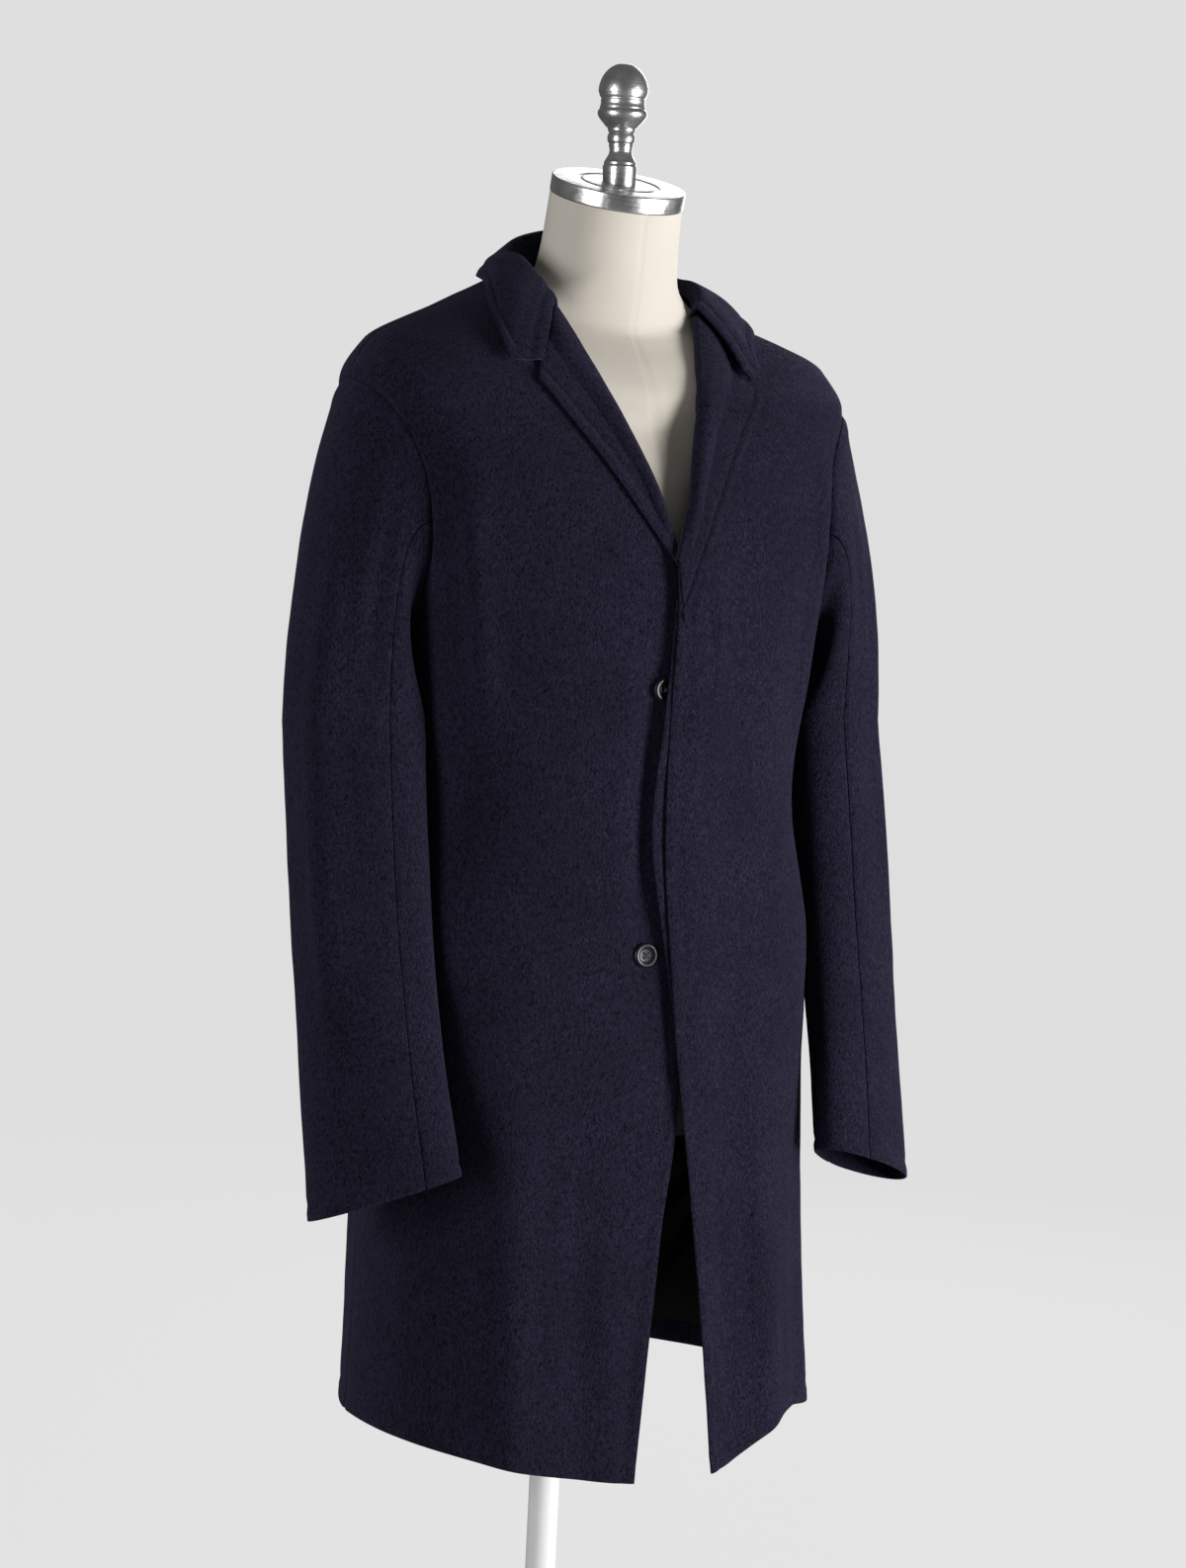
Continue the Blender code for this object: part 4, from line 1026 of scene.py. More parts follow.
def fly():
    turn, height = front_grid(1)
    kept = (height[:, 0] > FLY_EDGE[0][0] - 0.005) & (height[:, 0] < FLY_EDGE[-1][0])
    turn, height = turn[kept, :FLY_COLUMNS], height[kept, :FLY_COLUMNS]
    past = smooth(column(FLY_EDGE, 0), column(FLY_EDGE, 1), height[:, 0]) / girth(6, height[:, 0])
    turn = turn - past[:, None] * np.linspace(1, 0, FLY_COLUMNS)[None, :]
    points = garment(turn, height, overlap_lift(turn, height) - SEAM_GAP)
    points = dress(points, folded=("first",), seed=2.0)
    cloth("fly_cloth", "fly", points, "navy_wool", -FLY_CLOTH)


def sleeve(side):
    first = SLEEVE_LENGTHS[0] / sum(SLEEVE_LENGTHS)
    head = np.linspace(0, first, SLEEVE_HEAD_ROWS)
    drops = np.concatenate([head, np.linspace(first, 1, SLEEVE_LOWER_ROWS)[1:]])
    front_seam, back_seam = UNDER_SLEEVE
    gap = SLEEVE_SEAM_GAP / 2 / SLEEVE_RADIUS
    top = np.linspace(back_seam, front_seam + 2 * math.pi, TOP_SLEEVE_COLUMNS)
    under = np.linspace(front_seam, back_seam, UNDER_SLEEVE_COLUMNS)
    for kind, angle in (("top", top), ("under", under)):
        angle = angle.copy()
        angle[0] += gap
        angle[-1] -= gap
        points = sleeve_surface(side, angle, drops)
        creased = sleeve_creases(angle[None, :], drops[:, None])
        if side < 0:
            points, creased = points[:, ::-1], creased[:, ::-1]
        points = dress(points, seams=("first", "last", "foot"), folded=("top",), out=creased, seed=3.0)
        cloth(f"{label(side)}_{kind}_sleeve_cloth", f"{kind}_sleeve_{label(side)}", points,
              "navy_wool", -CLOTH)


def sleeve_creases(angle, drop):
    """How far the listed creases of a sleeve stand out, with its head fuller past the seam."""
    degrees = np.degrees(angle)
    crown = (1 + np.cos(angle)) / 2
    out = SLEEVE_HEAD * crown * bump(drop - 0.016, 0.012)
    for _, start, end, top, foot, width, rise in SLEEVE_CREASES:
        down = np.clip((drop - top) / (foot - top), 0, 1)
        away = (degrees - start - (end - start) * down + 180) % 360 - 180
        out = out + rise * bump(away, width) * ease(down * 3) * ease((1 - down) * 3)
    return out


def cuff_lining(side):
    angle = np.linspace(0, 2 * math.pi, 2 * ARMHOLE_STEPS, endpoint=False)
    drops = np.linspace(*CUFF_LINING, CUFF_LINING_ROWS)
    points = sleeve_surface(side, angle, drops, CLOTH + 4 * SEAM_GAP)
    if side < 0:
        points = points[:, ::-1]
    cloth(f"{label(side)}_cuff_lining_cloth", "cuff_lining_" + label(side), points, "black_lining",
          -LINING, closed=True)


# ---- the buttons ----


def button(number):
    """A polished button with a raised rim, a sunk middle and four holes, sewn on with a cross."""
    level, x = BUTTONS[number - 1]
    radius, thick = BUTTON_WIDTH / 2, BUTTON_THICKNESS
    profile = rounded([
        (0.0, thick * 0.62),
        (radius * 0.50, thick * 0.62),
        (radius * 0.70, thick * 0.96),
        (radius * 0.88, thick),
        (radius, thick * 0.62),
        (radius * 0.97, thick * 0.30),
        (radius * 0.80, 0.0),
        (0.0, 0.0),
    ], 0.0009)
    name = f"button_{number}_polished"
    made = add_piece(name, turned_mesh(name, profile, 72), "black_button", [f"button_{number}"])
    pierce(made, BUTTON_HOLES, BUTTON_HOLE_WIDTH / 2, thick)
    turn, height = from_front(np.array([x]), np.array([level]), 1)
    out = CLOTH + SEAM_GAP + body_creases(turn, height)
    place = Matrix.Translation(Vector(garment(turn, height, out)[0]))
    square = Vector(surface_normal(turn, height)[0]).to_track_quat("Z", "Y").to_matrix().to_4x4()
    thread = sewing_cross(f"button_{number}_thread", thick)
    for piece in (made, thread):
        piece.data.transform(place @ square)
    return made


def pierce(piece, reach, radius, depth):
    """Cuts four round holes at the corners of a square through a piece."""
    shape = bmesh.new()
    for x in (-reach, reach):
        for y in (-reach, reach):
            move = Matrix.Translation((x, y, depth / 2))
            bmesh.ops.create_cone(shape, cap_ends=True, segments=20, radius1=radius, radius2=radius,
                                  depth=depth * 3, matrix=move)
    mesh = bpy.data.meshes.new("holes")
    shape.to_mesh(mesh)
    shape.free()
    drill = bpy.data.objects.new("holes", mesh)
    bpy.context.scene.collection.objects.link(drill)
    cut = piece.modifiers.new("holes", "BOOLEAN")
    cut.operation = "DIFFERENCE"
    cut.solver = "EXACT"
    cut.object = drill
    bpy.context.view_layer.update()
    shown = piece.evaluated_get(bpy.context.evaluated_depsgraph_get())
    drilled = bpy.data.meshes.new_from_object(shown)
    piece.modifiers.clear()
    piece.data = drilled
    piece.data.set_sharp_from_angle(angle=SHARP_ANGLE)
    bpy.data.objects.remove(drill, do_unlink=True)


def sewing_cross(name, thick):
    """Two crossed loops of thread through a button's four holes."""
    curve = bpy.data.curves.new(name, "CURVE")
    curve.dimensions = "3D"
    curve.bevel_depth = 0.00042
    curve.bevel_resolution = 3
    for x in (-1, 1):
        for step in (-0.0002, 0.0002):
            line = curve.splines.new("BEZIER")
            line.bezier_points.add(2)
            ends = ((-x, -1, thick * 0.35), (0, 0, thick * 0.86 + step), (x, 1, thick * 0.35))
            for point, (across, along, level) in zip(line.bezier_points, ends):
                point.co = (across * BUTTON_HOLES + step, along * BUTTON_HOLES - step, level)
                point.handle_left_type = point.handle_right_type = "AUTO"
    drawn = bpy.data.objects.new(name, curve)
    bpy.context.scene.collection.objects.link(drawn)
    bpy.context.view_layer.update()
    mesh = bpy.data.meshes.new_from_object(drawn.evaluated_get(bpy.context.evaluated_depsgraph_get()))
    bpy.data.objects.remove(drawn, do_unlink=True)
    mesh.materials.clear()
    mesh.shade_smooth()
    return add_piece(name, mesh, "sewing_thread")


# ---- the dress form and its stand ----


def cap_ring(radius, drop, around):
    """A ring about the tilted cap's axis, `drop` below its top."""
    up = np.array([0.0, -math.sin(CAP_TILT), math.cos(CAP_TILT)])
    forward = np.array([0.0, -math.cos(CAP_TILT), -math.sin(CAP_TILT)])
    circle = np.outer(np.sin(around), [1.0, 0.0, 0.0]) + np.outer(np.cos(around), forward)
    return np.array(CAP_MIDDLE) - drop * up + radius * circle


def form_cover():
    """The cover drawn tight over the form's body and neck, with its neck seam and front seam."""
    around = np.linspace(0, 2 * math.pi, FORM_AROUND, endpoint=False)
    rings = []
    for height in np.linspace(FORM[0][0], FORM[-1][0], FORM_ROWS):
        level = np.full_like(around, height)
        inside = smooth(column(FORM, 0), column(FORM, 1), height)
        rings.append(bare_surface(around, level) - surface_normal(around, level) * inside)
    rings[0][:, 2] = FORM_BOTTOM
    lower = rings[-1]
    neck = []
    for height, radius, forward in FORM_NECK:
        x, y = radius * np.sin(around), -forward - radius * np.cos(around)
        level = height - left_drop(x, height) * ease((FORM_NECK[-1][0] - height) / 0.038)
        neck.append(np.stack([x, y, level], axis=-1))
    top = cap_ring(CAP_RADIUS - 0.0004, CAP_THICKNESS + 0.0003, around)
    knots = np.array([0.0, 0.28, 0.50, 0.72, 1.0])
    flat = np.stack([lower, *neck, top]).reshape(5, -1)
    for share in np.linspace(0, 1, 26)[1:]:
        row = np.array([smooth(knots, flat[:, i], share) for i in range(flat.shape[1])])
        rings.append(row.reshape(-1, 3))
    points = np.array(rings)
    seam = FORM_SEAM_SINK * bump(points[..., 0], FORM_SEAM_WIDTH) * (points[..., 1] < 0)
    seam = seam + NECK_SEAM_SINK * bump(np.arange(len(rings))[:, None] - (FORM_ROWS + 1.0), 0.8)
    points = points - grid_normals(points) * seam[..., None]
    mesh = grid_mesh("form_cover", points, closed=True)
    shape = bmesh.new()
    shape.from_mesh(mesh)
    for row in (0, len(rings) - 1):
        shape.verts.ensure_lookup_table()
        ring = [shape.verts[row * FORM_AROUND + i] for i in range(FORM_AROUND)]
        shape.faces.new(ring[::-1] if row == 0 else ring)
    shape.to_mesh(mesh)
    shape.free()
    mesh.shade_smooth()
    mesh.set_sharp_from_angle(angle=SHARP_ANGLE)
    made = add_piece("form_cover", mesh, "natural_cloth", ["form_body"])


def form_cap():
    """The metal cap: a flat turned disc with softened edges and a shallow ring cut in its top."""
    ring = CAP_GROOVE
    profile = rounded([
        (0.0, 0.0),
        (ring - 0.0022, 0.0),
        (ring, -0.0009),
        (ring + 0.0022, 0.0),
        (CAP_RADIUS, 0.0),
        (CAP_RADIUS, -CAP_THICKNESS),
        (0.0, -CAP_THICKNESS),
    ], 0.0011)
    mesh = turned_mesh("form_cap_turned", profile, 160)
    tilt = Matrix.Rotation(CAP_TILT, 4, "X")
    mesh.transform(Matrix.Translation(Vector(CAP_MIDDLE)) @ tilt)
    add_piece("form_cap_turned", mesh, "turned_aluminium", ["form_cap"])


def form_finial():
    """The turned finial, with a fine cut line beside each swell; its foot meets the sloping cap."""
    dome_start, dome_radius = FINIAL[-1][1:]
    heights = np.linspace(0, dome_start, 110)
    radii = smooth(column(FINIAL, 1), column(FINIAL, 2), heights)
    for level in FINIAL_CUTS:
        radii = radii - FINIAL_CUT_DEPTH * bump(heights - level, FINIAL_CUT_WIDTH)
    profile = list(zip(radii, heights))
    for angle in np.linspace(0, math.pi / 2, 24)[1:]:
        profile.append((dome_radius * math.cos(angle), dome_start + FINIAL_DOME * math.sin(angle)))
    mesh = turned_mesh("form_finial_turned", [(0.0, 0.0), *profile][::-1], 96)
    slope = math.tan(CAP_TILT)
    for vertex in mesh.vertices:
        low = 1 - ease(np.float64(vertex.co.z / 0.008))
        vertex.co.z += float(FINIAL_LIFT + low * (0.0003 - FINIAL_LIFT + vertex.co.y * slope))
    mesh.transform(Matrix.Translation(Vector(CAP_MIDDLE)))
    add_piece("form_finial_turned", mesh, "turned_aluminium", ["form_finial"])


def stand():
    seat = BASE_THICKNESS + BASE_BOSS
    pole = [
        (0.0, FORM_BOTTOM - 0.0003),
        (POLE_RADIUS, FORM_BOTTOM - 0.0003),
        (POLE_RADIUS, seat + 0.0003),
        (0.0, seat + 0.0003),
    ]
    add_piece("pole_painted", turned_mesh("pole_painted", rounded(pole)), "pale_painted_steel",
              ["stand_pole"])
    base = [
        (0.0, seat),
        (POLE_RADIUS + 0.008, seat),
        (POLE_RADIUS + 0.016, BASE_THICKNESS),
        (BASE_RADIUS - 0.004, BASE_THICKNESS - 0.002),
        (BASE_RADIUS, BASE_THICKNESS - 0.006),
        (BASE_RADIUS, 0.002),
        (BASE_RADIUS - 0.002, 0.0),
        (0.0, 0.0),
    ]
    add_piece("base_painted", turned_mesh("base_painted", rounded(base, 0.0016), 160),
              "pale_painted_steel", ["stand_base"])


# ---- finishes: each material and node group is made once, at its first call ----


def new_finish(name, colour, roughness, metallic=0.0):
    """A finish with its plain values set, and its tree and shader to add nodes to."""
    made = bpy.data.materials.new(name)
    made.use_nodes = True
    shader = made.node_tree.nodes["Principled BSDF"]
    shader.inputs["Base Color"].default_value = (*colour, 1.0)
    shader.inputs["Roughness"].default_value = roughness
    shader.inputs["Metallic"].default_value = metallic
    return made, made.node_tree, shader


def feed(tree, socket, value):
    """Links another node's socket into this one, or sets this one to a plain value."""
    if isinstance(value, bpy.types.NodeSocket):
        tree.links.new(value, socket)
    else:
        socket.default_value = value


def add_node(tree, kind, settings=None, **values):
    """A node with its settings, and its sockets fed by name, or by number as i0, i1 and so on."""
    made = tree.nodes.new(kind)
    for name, value in (settings or {}).items():
        setattr(made, name, value)
    for name, value in values.items():
        numbered = name[0] == "i" and name[1:].isdigit()
        feed(tree, made.inputs[int(name[1:]) if numbered else name.replace("_", " ")], value)
    return made


def maths(tree, operation, *values):
    named = {f"i{place}": value for place, value in enumerate(values)}
    return add_node(tree, "ShaderNodeMath", {"operation": operation}, **named).outputs[0]


def colour_by(tree, mask, low, high):
    """A colour that goes from one to the other as the mask goes from 0 to 1."""
    settings = {"data_type": "RGBA"}
    mixed = add_node(tree, "ShaderNodeMix", settings, i0=mask, i6=(*low, 1.0), i7=(*high, 1.0))
    return mixed.outputs[2]


def group(name, inputs, outputs):
    """An empty node group with its named sockets, and its two ends."""
    made = bpy.data.node_groups.new(name, "ShaderNodeTree")
    for socket, kind, value in inputs:
        item = made.interface.new_socket(socket, in_out="INPUT", socket_type=kind)
        if value is not None:
            item.default_value = value
    for socket, kind in outputs:
        made.interface.new_socket(socket, in_out="OUTPUT", socket_type=kind)
    return made, made.nodes.new("NodeGroupInput"), made.nodes.new("NodeGroupOutput")


@cache
def soft_patches():
    """Group: broad, soft patches of shade, as handled cloth, paint and metal have."""
    made, start, end = group("soft patches", [
        ("Place", "NodeSocketVector", None),
        ("Patches per metre", "NodeSocketFloat", 12.0),
        ("Strength", "NodeSocketFloat", 1.0),
    ], [("Shade", "NodeSocketFloat")])
    broad = add_node(made, "ShaderNodeTexNoise", Vector=start.outputs[0], Scale=start.outputs[1],
                     Detail=3.0, Roughness=0.55)
    centred = maths(made, "SUBTRACT", broad.outputs[0], 0.5)
    spread = maths(made, "MULTIPLY", centred, start.outputs[2])
    made.links.new(maths(made, "ADD", spread, 0.5), end.inputs[0])
    return made


@cache
def thread_weave():
    """Group: crossing threads on the cloth's own length and width, as a height and a painted shade that is
    lighter where the threads rise and darker where they sink.
    """
    made, start, end = group("thread weave", [
        ("Place", "NodeSocketVector", None),
        ("Threads per metre", "NodeSocketFloat", 2000.0),
        ("Slubs", "NodeSocketFloat", 0.3),
    ], [("Height", "NodeSocketFloat"), ("Shade", "NodeSocketFloat")])
    split = add_node(made, "ShaderNodeSeparateXYZ", i0=start.outputs[0])
    waves = []
    for axis in (0, 1):
        turns = maths(made, "MULTIPLY", split.outputs[axis], start.outputs[1])
        waves.append(maths(made, "SINE", maths(made, "MULTIPLY", turns, 2 * math.pi)))
    crossing = maths(made, "MULTIPLY", waves[0], waves[1])
    slub = add_node(made, "ShaderNodeTexNoise", Vector=start.outputs[0], Scale=900.0, Detail=2.0)
    uneven = maths(made, "MULTIPLY", slub.outputs[0], start.outputs[2])
    height = maths(made, "ADD", maths(made, "MULTIPLY", crossing, 0.5), uneven)
    made.links.new(height, end.inputs[0])
    # This shade is painted shade: it follows the weave's height and is lighter on the raised threads.
    made.links.new(maths(made, "MULTIPLY_ADD", crossing, 0.25, 0.5), end.inputs[1])
    return made


def placed_group(tree, which, **values):
    made = tree.nodes.new("ShaderNodeGroup")
    made.node_tree = which()
    for name, value in values.items():
        feed(tree, made.inputs[name.replace("_", " ")], value)
    return made


def raise_nap(tree, shader, height, depth, strength):
    """Feeds a height to the shader's normal, `depth` metres high."""
    lifted = add_node(tree, "ShaderNodeBump", Height=height, Distance=depth, Strength=strength)
    tree.links.new(lifted.outputs[0], shader.inputs["Normal"])


@cache
def navy_wool():
    """Brushed wool: short curled hairs that lie downward, with painted shade darker between them, and a soft
    bloom.
    """
    made, tree, shader = new_finish("brushed navy wool", WOOL_MID, 0.94)
    shader.inputs["Specular IOR Level"].default_value = 0.06
    shader.inputs["Sheen Weight"].default_value = WOOL_BLOOM
    shader.inputs["Sheen Roughness"].default_value = 0.50
    shader.inputs["Sheen Tint"].default_value = (*WOOL_BLOOM_COLOUR, 1.0)
    place = add_node(tree, "ShaderNodeTexCoord").outputs["Object"]
    curl = add_node(tree, "ShaderNodeTexNoise", Vector=place, Scale=150.0, Detail=1.0)
    centred = add_node(tree, "ShaderNodeVectorMath", {"operation": "SUBTRACT"}, i0=curl.outputs[1],
                       i1=(0.5, 0.5, 0.5))
    swayed = add_node(tree, "ShaderNodeVectorMath", {"operation": "MULTIPLY_ADD"},
                      i0=centred.outputs[0], i1=(0.006, 0.006, 0.004), i2=place)
    lying = add_node(tree, "ShaderNodeMapping", i0=swayed.outputs[0], i3=(1.0, 1.0, 0.42))
    hairs = add_node(tree, "ShaderNodeTexNoise", Vector=lying.outputs[0], Scale=640.0, Detail=2.0,
                     Roughness=0.6, Distortion=0.7)
    fuzz = add_node(tree, "ShaderNodeTexNoise", Vector=lying.outputs[0], Scale=1500.0, Detail=1.0)
    nap = maths(tree, "MULTIPLY_ADD", fuzz.outputs[0], 0.35, maths(tree, "MULTIPLY", hairs.outputs[0], 0.65))
    nap_shade_mask = add_node(tree, "ShaderNodeMapRange", {"clamp": True}, Value=nap, From_Min=0.38, From_Max=0.62)
    patches = placed_group(tree, soft_patches, Place=place, Patches_per_metre=14.0, Strength=0.9)
    # The nap's height also sets the colour: painted shade in its hollows and the lighter tip colour on its
    # raised hairs, both under random patches of tone.
    mask = maths(tree, "MULTIPLY", nap_shade_mask.outputs[0], maths(tree, "ADD", patches.outputs[0], 0.45))
    tree.links.new(colour_by(tree, mask, WOOL_DEEP_PAINTED_SHADE, WOOL_TIP), shader.inputs["Base Color"])
    raise_nap(tree, shader, nap, 0.0030, 0.85)
    return made


@cache
def black_lining():
    """Satin: a smooth face with fine threads and long, soft gleams."""
    made, tree, shader = new_finish("black satin", (0.003, 0.003, 0.004), 0.36)
    shader.inputs["Specular IOR Level"].default_value = 0.10
    place = add_node(tree, "ShaderNodeTexCoord")
    weave = placed_group(tree, thread_weave, Place=place.outputs["UV"], Threads_per_metre=2600.0, Slubs=0.5)
    patches = placed_group(tree, soft_patches, Place=place.outputs["Object"], Patches_per_metre=30.0,
                           Strength=1.2)
    # The lining's colour is the weave's painted shade multiplied by random patches of tone.
    shade = maths(tree, "MULTIPLY", patches.outputs[0], weave.outputs["Shade"])
    tree.links.new(colour_by(tree, shade, (0.0018, 0.0018, 0.0024), (0.006, 0.006, 0.008)),
                   shader.inputs["Base Color"])
    tree.links.new(maths(tree, "MULTIPLY_ADD", patches.outputs[0], 0.2, 0.26), shader.inputs["Roughness"])
    raise_nap(tree, shader, weave.outputs["Height"], 0.00008, 0.5)
    return made


@cache
def black_button():
    """Polished black horn: faint dark streaks and fine rubbed lines on its rim."""
    made, tree, shader = new_finish("polished black horn", (0.004, 0.004, 0.005), 0.22)
    shader.inputs["Specular IOR Level"].default_value = 0.25
    shader.inputs["Coat Weight"].default_value = 0.10
    shader.inputs["Coat Roughness"].default_value = 0.15
    place = add_node(tree, "ShaderNodeTexCoord").outputs["Object"]
    streaks = add_node(tree, "ShaderNodeTexNoise", Vector=place, Scale=420.0, Detail=3.0, Distortion=1.5)
    tree.links.new(colour_by(tree, streaks.outputs[0], (0.002, 0.002, 0.003), (0.011, 0.010, 0.012)),
                   shader.inputs["Base Color"])
    rubbed = add_node(tree, "ShaderNodeTexNoise", Vector=place, Scale=2600.0, Detail=2.0)
    tree.links.new(maths(tree, "MULTIPLY_ADD", rubbed.outputs[0], 0.22, 0.24), shader.inputs["Roughness"])
    raise_nap(tree, shader, rubbed.outputs[0], 0.00004, 0.4)
    return made


@cache
def sewing_thread():
    """Navy thread with its twist, in painted shade that is darker where the twist sinks."""
    made, tree, shader = new_finish("navy sewing thread", (0.012, 0.010, 0.024), 0.6)
    place = add_node(tree, "ShaderNodeTexCoord").outputs["Object"]
    twist = add_node(tree, "ShaderNodeTexNoise", Vector=place, Scale=4200.0, Detail=1.0)
    # The twist's height also sets the colour: painted shade where the twist sinks.
    tree.links.new(colour_by(tree, twist.outputs[0], (0.008, 0.007, 0.016), (0.035, 0.030, 0.060)),
                   shader.inputs["Base Color"])
    raise_nap(tree, shader, twist.outputs[0], 0.0001, 0.6)
    return made


@cache
def natural_cloth():
    """The form's close natural cloth: a fine even weave, faint slubs and handled patches."""
    made, tree, shader = new_finish("natural form cloth", FORM_CLOTH, 0.82)
    shader.inputs["Specular IOR Level"].default_value = 0.25
    place = add_node(tree, "ShaderNodeTexCoord")
    weave = placed_group(tree, thread_weave, Place=place.outputs["UV"], Threads_per_metre=1300.0, Slubs=0.8)
    patches = placed_group(tree, soft_patches, Place=place.outputs["Object"], Patches_per_metre=16.0,
                           Strength=1.1)
    # The cover's colour mixes the weave's painted shade with random patches of tone.
    shade = maths(tree, "MULTIPLY_ADD", weave.outputs["Shade"], 0.4,
                  maths(tree, "MULTIPLY", patches.outputs[0], 0.6))
    tree.links.new(colour_by(tree, shade, FORM_CLOTH_DARK, FORM_CLOTH_LIGHT), shader.inputs["Base Color"])
    raise_nap(tree, shader, weave.outputs["Height"], 0.00012, 0.6)
    return made


@cache
def turned_aluminium():
    """Turned aluminium: fine rings from the tool, brushed streaks and dulled patches."""
    made, tree, shader = new_finish("turned aluminium", (0.78, 0.78, 0.79), 0.28, 1.0)
    place = add_node(tree, "ShaderNodeTexCoord")
    along = add_node(tree, "ShaderNodeMapping", i0=place.outputs["UV"], i3=(14.0, 1500.0, 1.0))
    rings = add_node(tree, "ShaderNodeTexNoise", Vector=along.outputs[0], Scale=1.0, Detail=3.0)
    dents = add_node(tree, "ShaderNodeTexNoise", Vector=place.outputs["Object"], Scale=170.0, Detail=2.0)
    patches = placed_group(tree, soft_patches, Place=place.outputs["Object"], Patches_per_metre=70.0,
                           Strength=1.4)
    tree.links.new(colour_by(tree, patches.outputs[0], (0.52, 0.52, 0.53), (0.86, 0.86, 0.87)),
                   shader.inputs["Base Color"])
    rough = maths(tree, "MULTIPLY_ADD", rings.outputs[0], 0.25, 0.13)
    tree.links.new(maths(tree, "MULTIPLY_ADD", patches.outputs[0], 0.10, rough), shader.inputs["Roughness"])
    height = maths(tree, "MULTIPLY_ADD", dents.outputs[0], 2.2, rings.outputs[0])
    raise_nap(tree, shader, height, 0.00016, 0.8)
    return made


@cache
def pale_painted_steel():
    """Satin paint over steel: a fine orange peel and slight wear."""
    made, tree, shader = new_finish("pale painted steel", (0.72, 0.72, 0.72), 0.45)
    place = add_node(tree, "ShaderNodeTexCoord").outputs["Object"]
    peel = add_node(tree, "ShaderNodeTexNoise", Vector=place, Scale=650.0, Detail=1.0)
    patches = placed_group(tree, soft_patches, Place=place, Patches_per_metre=11.0, Strength=0.8)
    tree.links.new(colour_by(tree, patches.outputs[0], (0.67, 0.67, 0.67), (0.77, 0.77, 0.77)),
                   shader.inputs["Base Color"])
    tree.links.new(maths(tree, "MULTIPLY_ADD", patches.outputs[0], 0.2, 0.33), shader.inputs["Roughness"])
    raise_nap(tree, shader, peel.outputs[0], 0.0001, 0.5)
    return made


FINISHES = {
    "navy_wool": navy_wool,
    "black_lining": black_lining,
    "black_button": black_button,
    "sewing_thread": sewing_thread,
    "natural_cloth": natural_cloth,
    "turned_aluminium": turned_aluminium,
    "pale_painted_steel": pale_painted_steel,
}


# ---- the room ----


def studio_floor():
    """A plain floor, as pale as the background to the camera, that glows only as the room does."""
    shape = bmesh.new()
    bmesh.ops.create_circle(shape, cap_ends=True, segments=96, radius=60.0)
    mesh = bpy.data.meshes.new("studio_floor")
    shape.to_mesh(mesh)
    shape.free()
    floor = bpy.data.objects.new("studio_floor", mesh)
    bpy.context.scene.collection.objects.link(floor)
    paint, tree, shader = new_finish("pale floor", (FLOOR_PAINT,) * 3, 0.9)
    shader.inputs["Specular IOR Level"].default_value = 0.0
    shader.inputs["Emission Strength"].default_value = BACKGROUND - FLOOR_PAINT * FLOOR_LIGHT
    seen = add_node(tree, "ShaderNodeLightPath").outputs["Is Camera Ray"]
    glow = add_node(tree, "ShaderNodeMapRange", Value=seen, To_Min=ROOM_LIGHT, To_Max=1.0)
    tree.links.new(glow.outputs[0], shader.inputs["Emission Color"])
    place = add_node(tree, "ShaderNodeTexCoord").outputs["Object"]
    patches = placed_group(tree, soft_patches, Place=place, Patches_per_metre=2.0, Strength=0.05)
    low, high = (FLOOR_PAINT * 0.97,) * 3, (FLOOR_PAINT * 1.03,) * 3
    tree.links.new(colour_by(tree, patches.outputs[0], low, high), shader.inputs["Base Color"])
    mesh.materials.append(paint)


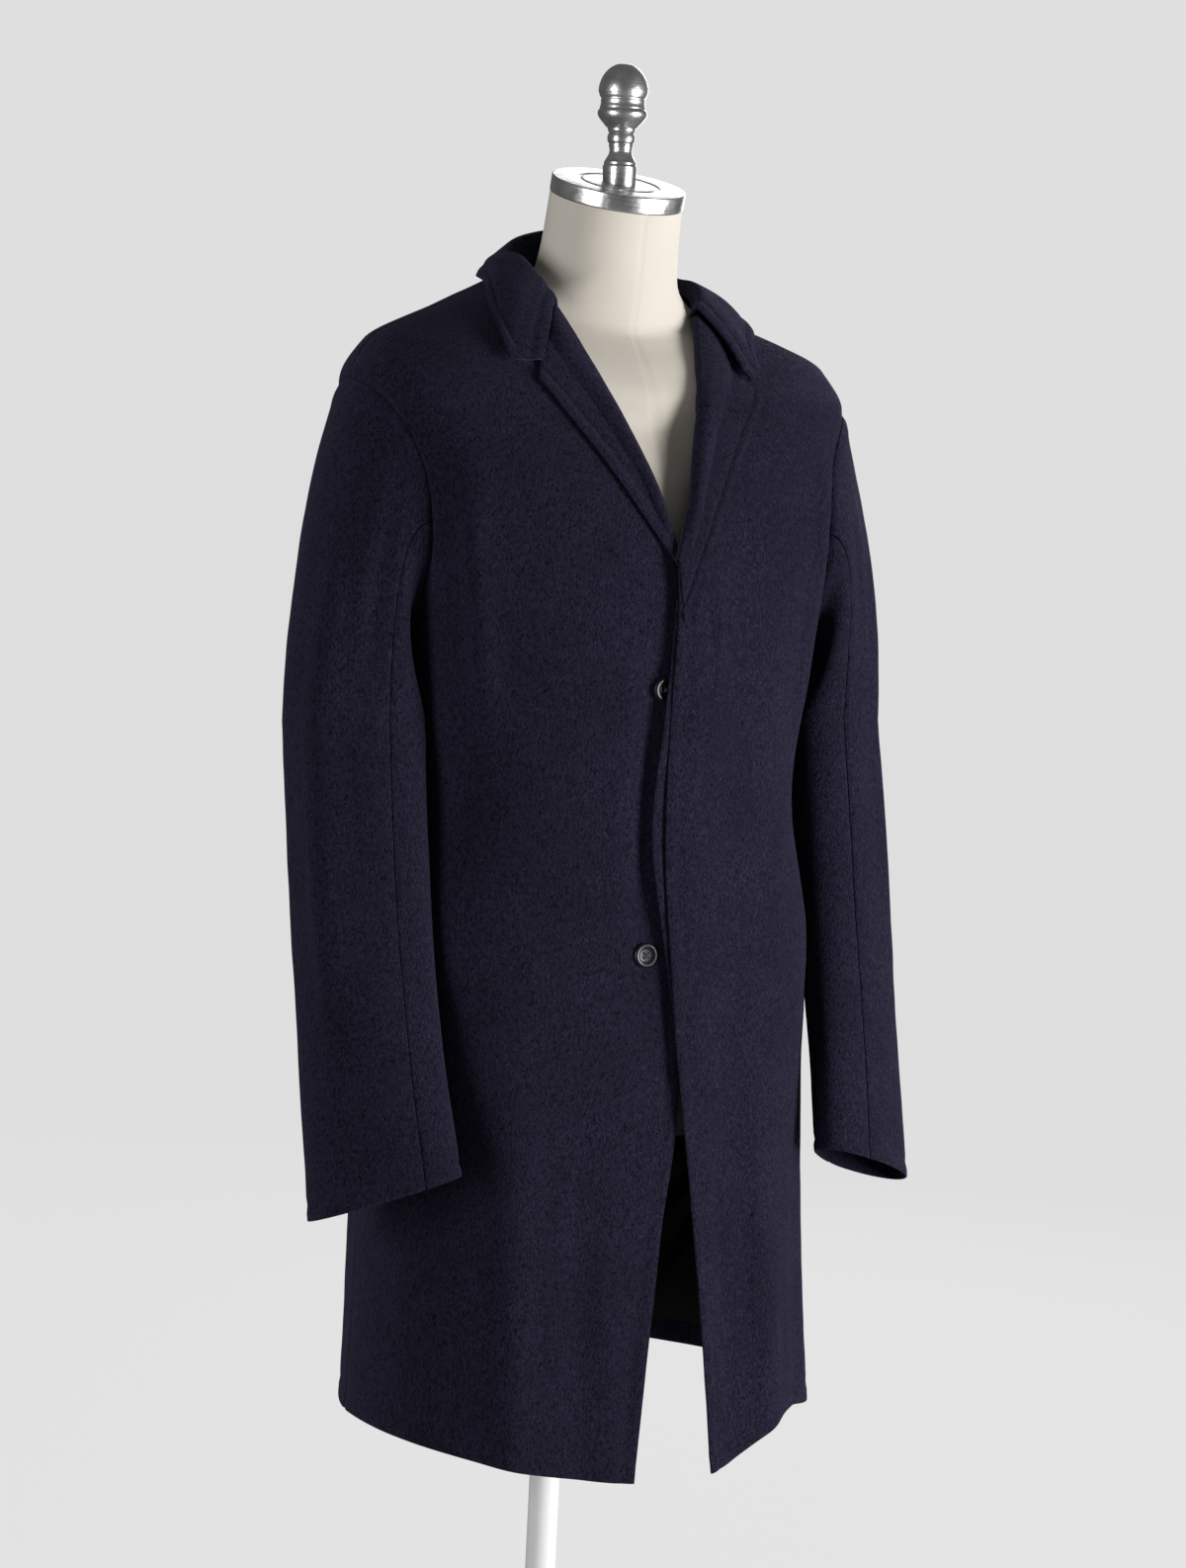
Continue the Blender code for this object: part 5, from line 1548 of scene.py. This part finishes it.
def soft_box(name, place, aim, width, height, power):
    lamp = bpy.data.lights.new(name, "AREA")
    lamp.shape = "RECTANGLE"
    lamp.size, lamp.size_y, lamp.energy = width, height, power
    made = bpy.data.objects.new(name, lamp)
    bpy.context.scene.collection.objects.link(made)
    made.location = place
    made.rotation_euler = (Vector(aim) - Vector(place)).to_track_quat("-Z", "Y").to_euler()


def lighting():
    world = bpy.data.worlds.new("studio")
    bpy.context.scene.world = world
    world.use_nodes = True
    sky = world.node_tree.nodes["Background"]
    sky.inputs["Strength"].default_value = 1.0
    seen = add_node(world.node_tree, "ShaderNodeLightPath").outputs["Is Camera Ray"]
    shade = add_node(world.node_tree, "ShaderNodeMapRange", Value=seen, To_Min=ROOM_LIGHT,
                     To_Max=BACKGROUND)
    world.node_tree.links.new(shade.outputs[0], sky.inputs["Color"])
    bpy.context.scene.view_settings.view_transform = "Standard"
    for name, place, aim, width, height, power in SOFT_BOXES:
        soft_box(name, place, aim, width, height, power)


def camera():
    """A portrait camera to the wearer's right of the front, looking a little down and rolled a little."""
    side, pitch, roll = (math.radians(a) for a in (CAMERA_SIDE, CAMERA_PITCH, CAMERA_ROLL))
    ahead = Vector((-math.sin(side) * math.cos(pitch), math.cos(side) * math.cos(pitch), -math.sin(pitch)))
    up = Vector((-math.sin(side) * math.sin(pitch), math.cos(side) * math.sin(pitch), math.cos(pitch)))
    right = Vector((math.cos(side), math.sin(side), 0.0))
    rolled_right = right * math.cos(roll) + up * math.sin(roll)
    rolled_up = up * math.cos(roll) - right * math.sin(roll)
    lens = bpy.data.cameras.new("camera")
    lens.sensor_fit = "VERTICAL"
    lens.sensor_height = 36.0
    lens.lens = CAMERA_LENS
    made = bpy.data.objects.new("camera", lens)
    bpy.context.scene.collection.objects.link(made)
    turned_to = Matrix((rolled_right, rolled_up, -ahead)).transposed().to_4x4()
    turned_to.translation = Vector((
        math.sin(side) * CAMERA_DISTANCE + CAMERA_SHIFT, -math.cos(side) * CAMERA_DISTANCE, CAMERA_HEIGHT))
    made.matrix_world = turned_to
    bpy.context.scene.camera = made


def main():
    camera()
    lighting()
    studio_floor()
    form_cover()
    form_cap()
    form_finial()
    stand()
    back()
    back_lining()
    for side in (1, -1):
        front(side)
        lapel(side)
        sleeve(side)
        cuff_lining(side)
    collar()
    fly()


main()
